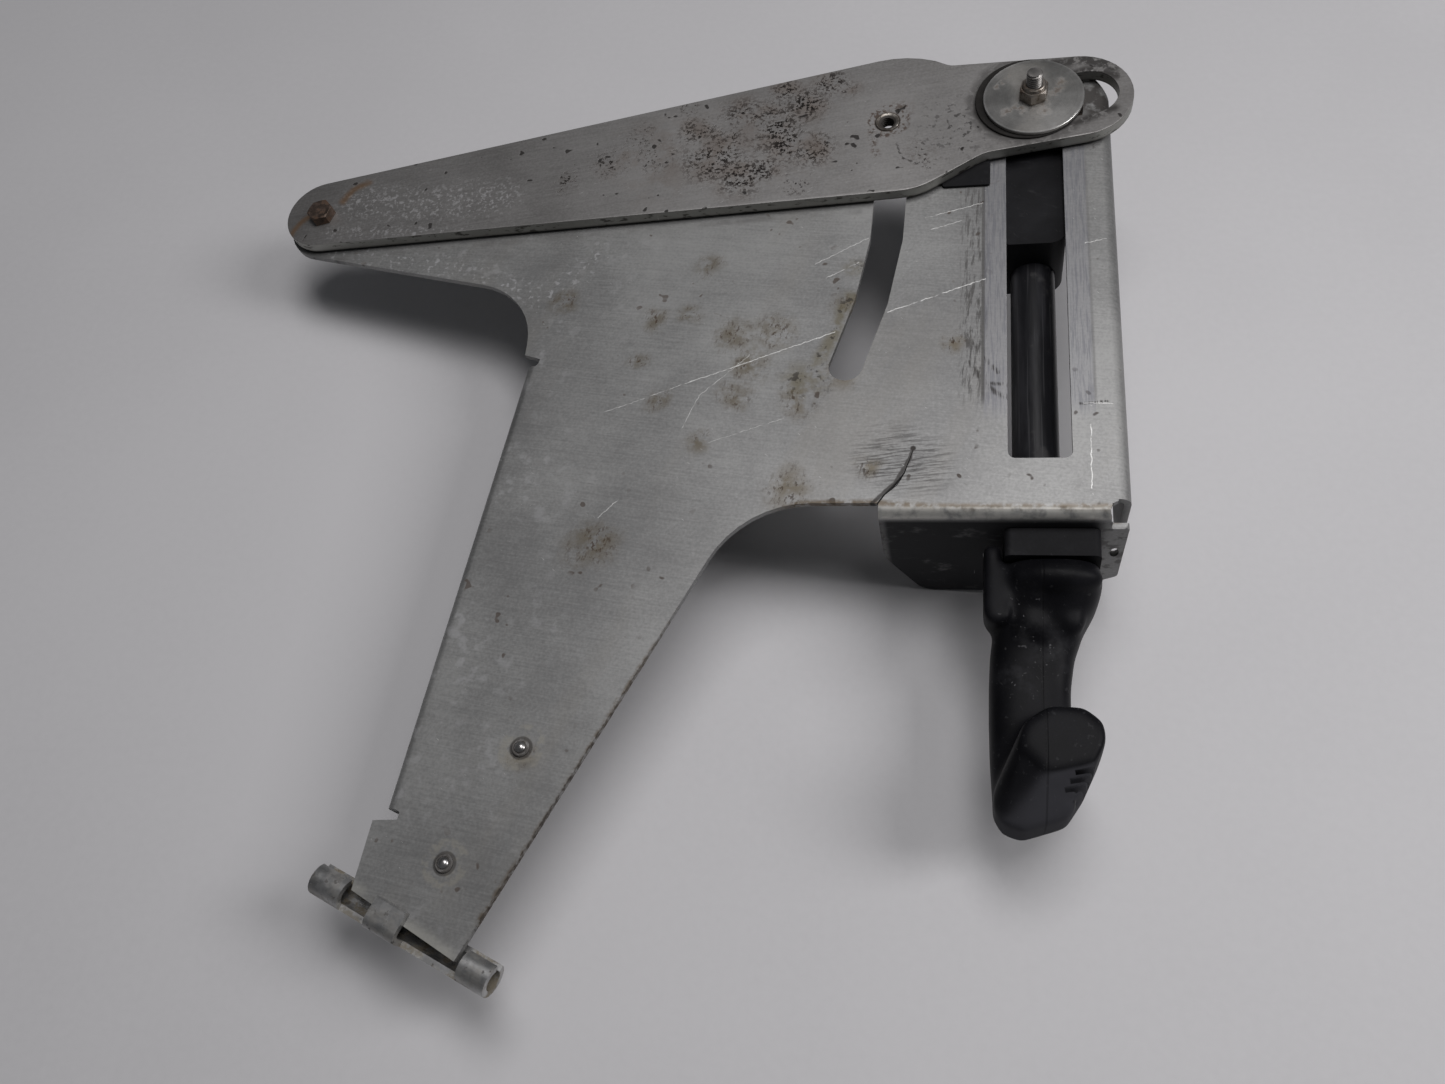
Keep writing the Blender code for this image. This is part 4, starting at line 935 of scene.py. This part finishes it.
def stud_material():
    """Bright crests, with painted shade darkening the roots of the thread."""
    s = Surface("stud_steel", metallic=0.95)
    low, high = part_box("slide_stud")
    radius = s.vector("DISTANCE", s.flat, ((low.x + high.x) / 2, (low.y + high.y) / 2, 0.0))
    slow = s.noise(160.0, 3.0, 0.6)
    grain = s.noise(1300.0, 2.0)
    crest = s.fade(radius, 3.45 * MM, 3.85 * MM)
    tip = s.fade(s.axis("Z"), high.z - 1.2 * MM, high.z - 0.5 * MM)
    crests_and_tip = s.most(s.times(crest, s.fade(slow, 0.25, 0.55)), tip)
    # Painted shade: the thread's roots are near-black, while the crests and the tip keep the steel tone.
    colour = s.mix(crests_and_tip, (0.045, 0.042, 0.04), (0.36, 0.345, 0.33))
    stain = s.fade(s.noise(300.0, 4.0), 0.56, 0.68)
    colour = s.mix(s.times(stain, 0.6), colour, (0.09, 0.055, 0.035))
    rough = s.calc("ADD", s.fade(crests_and_tip, 0.0, 1.0, 0.55, 0.3), s.times(slow, 0.15))
    metal = s.fade(crests_and_tip, 0.0, 1.0, 0.3, 0.95)
    return s.finish(colour, rough, grain, 0.03, metal)


def insert_material():
    """A rusty collar round a bore painted near-black as shade."""
    s = Surface("insert_steel", metallic=0.9)
    slow = s.noise(150.0, 3.0, 0.6)
    grain = s.noise(1300.0, 2.0)
    bore = s.spot(INSERT, 4.9, 0.12)
    colour = s.mix(s.fade(slow, 0.4, 0.65), (0.16, 0.14, 0.12), (0.34, 0.32, 0.29))
    # The bore is near-black painted shade; the other dark spots are dirt.
    dirt = s.most(s.times(bore, 0.95), s.times(s.fade(s.noise(420.0, 3.0), 0.52, 0.62), 0.7))
    colour = s.mix(dirt, colour, (0.022, 0.018, 0.015))
    rough = s.calc("ADD", s.fade(dirt, 0.0, 1.0, 0.36, 0.62), s.times(slow, 0.12))
    metal = s.fade(dirt, 0.0, 1.0, 0.9, 0.1)
    return s.finish(colour, rough, grain, 0.04, metal)


def rivet_material():
    """A polished dome in a ring of dirt."""
    s = Surface("rivet_steel", metallic=0.95)
    slow = s.noise(220.0, 3.0, 0.6)
    grain = s.noise(1500.0, 2.0)
    rim = rings_round(s, RIVETS, 2.6, 6.5)
    groove = s.times(rim, s.fade(s.noise(500.0, 3.0), 0.25, 0.5))
    colour = s.mix(s.fade(slow, 0.35, 0.65), (0.30, 0.29, 0.285), (0.50, 0.49, 0.48))
    colour = s.mix(s.times(groove, 0.85), colour, (0.05, 0.044, 0.038))
    rough = s.calc("ADD", s.fade(groove, 0.0, 1.0, 0.2, 0.55), s.times(slow, 0.12))
    metal = s.fade(groove, 0.0, 1.0, 0.95, 0.3)
    return s.finish(colour, rough, grain, 0.03, metal)


def dress_all():
    worn = fastener_material("fastener_steel_worn", (0.42, 0.40, 0.38), (0.24, 0.23, 0.22),
                             (0.10, 0.065, 0.04), 0.35)
    rusty = fastener_material("rusty_bolt_steel", (0.20, 0.15, 0.125), (0.10, 0.075, 0.06),
                              (0.085, 0.048, 0.028), 0.6, 0.4)
    nut = fastener_material("nut_steel", (0.34, 0.31, 0.28), (0.17, 0.15, 0.13),
                            (0.075, 0.048, 0.03), 0.45, 0.3)
    greasy = fastener_material("greasy_washer", (0.05, 0.042, 0.036), (0.02, 0.018, 0.016),
                               (0.035, 0.022, 0.015), 0.6, 0.42)
    rivet = rivet_material()
    bush = plastic_material("greasy_bush", (0.014, 0.013, 0.012), 0.4, 0.15)
    black = plastic_material("moulded_black", (0.005, 0.005, 0.006), 0.5, 0.10)
    rubber = plastic_material("rubber_black", (0.006, 0.006, 0.007), 0.6, 0.10, 900.0, 0.07)
    looks = {
        "bracket": sheet_material(), "hinge_leaf": hinge_material(), "lever": lever_material(),
        "rivet_1": rivet, "rivet_2": rivet, "pivot_bolt": rusty, "pivot_nut": rusty,
        "pivot_nut_washer": worn, "pivot_spacer": worn, "glide_pad": black, "end_buffer": rubber,
        "rod_sleeve": rod_material(), "carrier": black, "slot_roller": bush, "bracket_washer": greasy,
        "rub_washer": bush, "disc_washer": disc_material(), "disc_nut": nut,
    }
    for node, material in looks.items():
        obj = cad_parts[node]
        smooth_node(obj)
        dress(obj, material)
    stud_thread()
    insert_thread()
    moulded_grip(grip_material())


# ---------------------------------------------------------------- stage, light and camera


def add_floor():
    slope = Vector((FLOOR_SLOPE_X, FLOOR_SLOPE_Y, 1.0)).normalized()
    shape = bmesh.new()
    bmesh.ops.create_grid(shape, x_segments=2, y_segments=2, size=FLOOR_HALF_M)
    mesh = bpy.data.meshes.new("floor")
    shape.to_mesh(mesh)
    shape.free()
    floor = bpy.data.objects.new("floor", mesh)
    floor.location = place(0.0, 0.0, -FLOOR_DROP)
    floor.rotation_mode = "QUATERNION"
    floor.rotation_quaternion = Vector((0.0, 0.0, 1.0)).rotation_difference(slope)
    bpy.context.scene.collection.objects.link(floor)
    dress(floor, floor_material())


def add_light(name, at, size, watts):
    """A soft rectangle of light that faces the middle of the object."""
    data = bpy.data.lights.new(name, "AREA")
    data.shape = "RECTANGLE"
    data.size, data.size_y = size
    data.energy = watts
    data.color = LIGHT_COLOUR
    light = bpy.data.objects.new(name, data)
    light.location = at
    light.rotation_mode = "QUATERNION"
    light.rotation_quaternion = (Vector(at) - Vector(LIT_POINT)).to_track_quat("Z", "Y")
    bpy.context.scene.collection.objects.link(light)


def add_world(strength):
    world = bpy.data.worlds.new("room")
    world.use_nodes = True
    background = world.node_tree.nodes["Background"]
    background.inputs["Color"].default_value = (*WORLD_COLOUR, 1.0)
    background.inputs["Strength"].default_value = strength
    bpy.context.scene.world = world


def add_camera():
    data = bpy.data.cameras.new("camera")
    data.sensor_width = CAMERA_SENSOR_MM
    data.lens = CAMERA_LENS_MM
    data.clip_start = 0.01
    data.clip_end = 50.0
    camera = bpy.data.objects.new("camera", data)
    right, up, back = Vector(CAMERA_RIGHT), -Vector(CAMERA_DOWN), -Vector(CAMERA_AHEAD)
    turn = Matrix((right, up, back)).transposed()
    camera.matrix_world = Matrix.Translation(place(*CAMERA_AT)) @ turn.to_4x4()
    bpy.context.scene.collection.objects.link(camera)
    bpy.context.scene.camera = camera


bpy.context.scene.view_settings.view_transform = "Standard"
dress_all()
add_floor()
add_world(WORLD_LEVEL)
add_light("ceiling", CEILING_AT, CEILING_SIZE, CEILING_WATTS)
add_light("side", SIDE_AT, SIDE_SIZE, SIDE_WATTS)
add_camera()
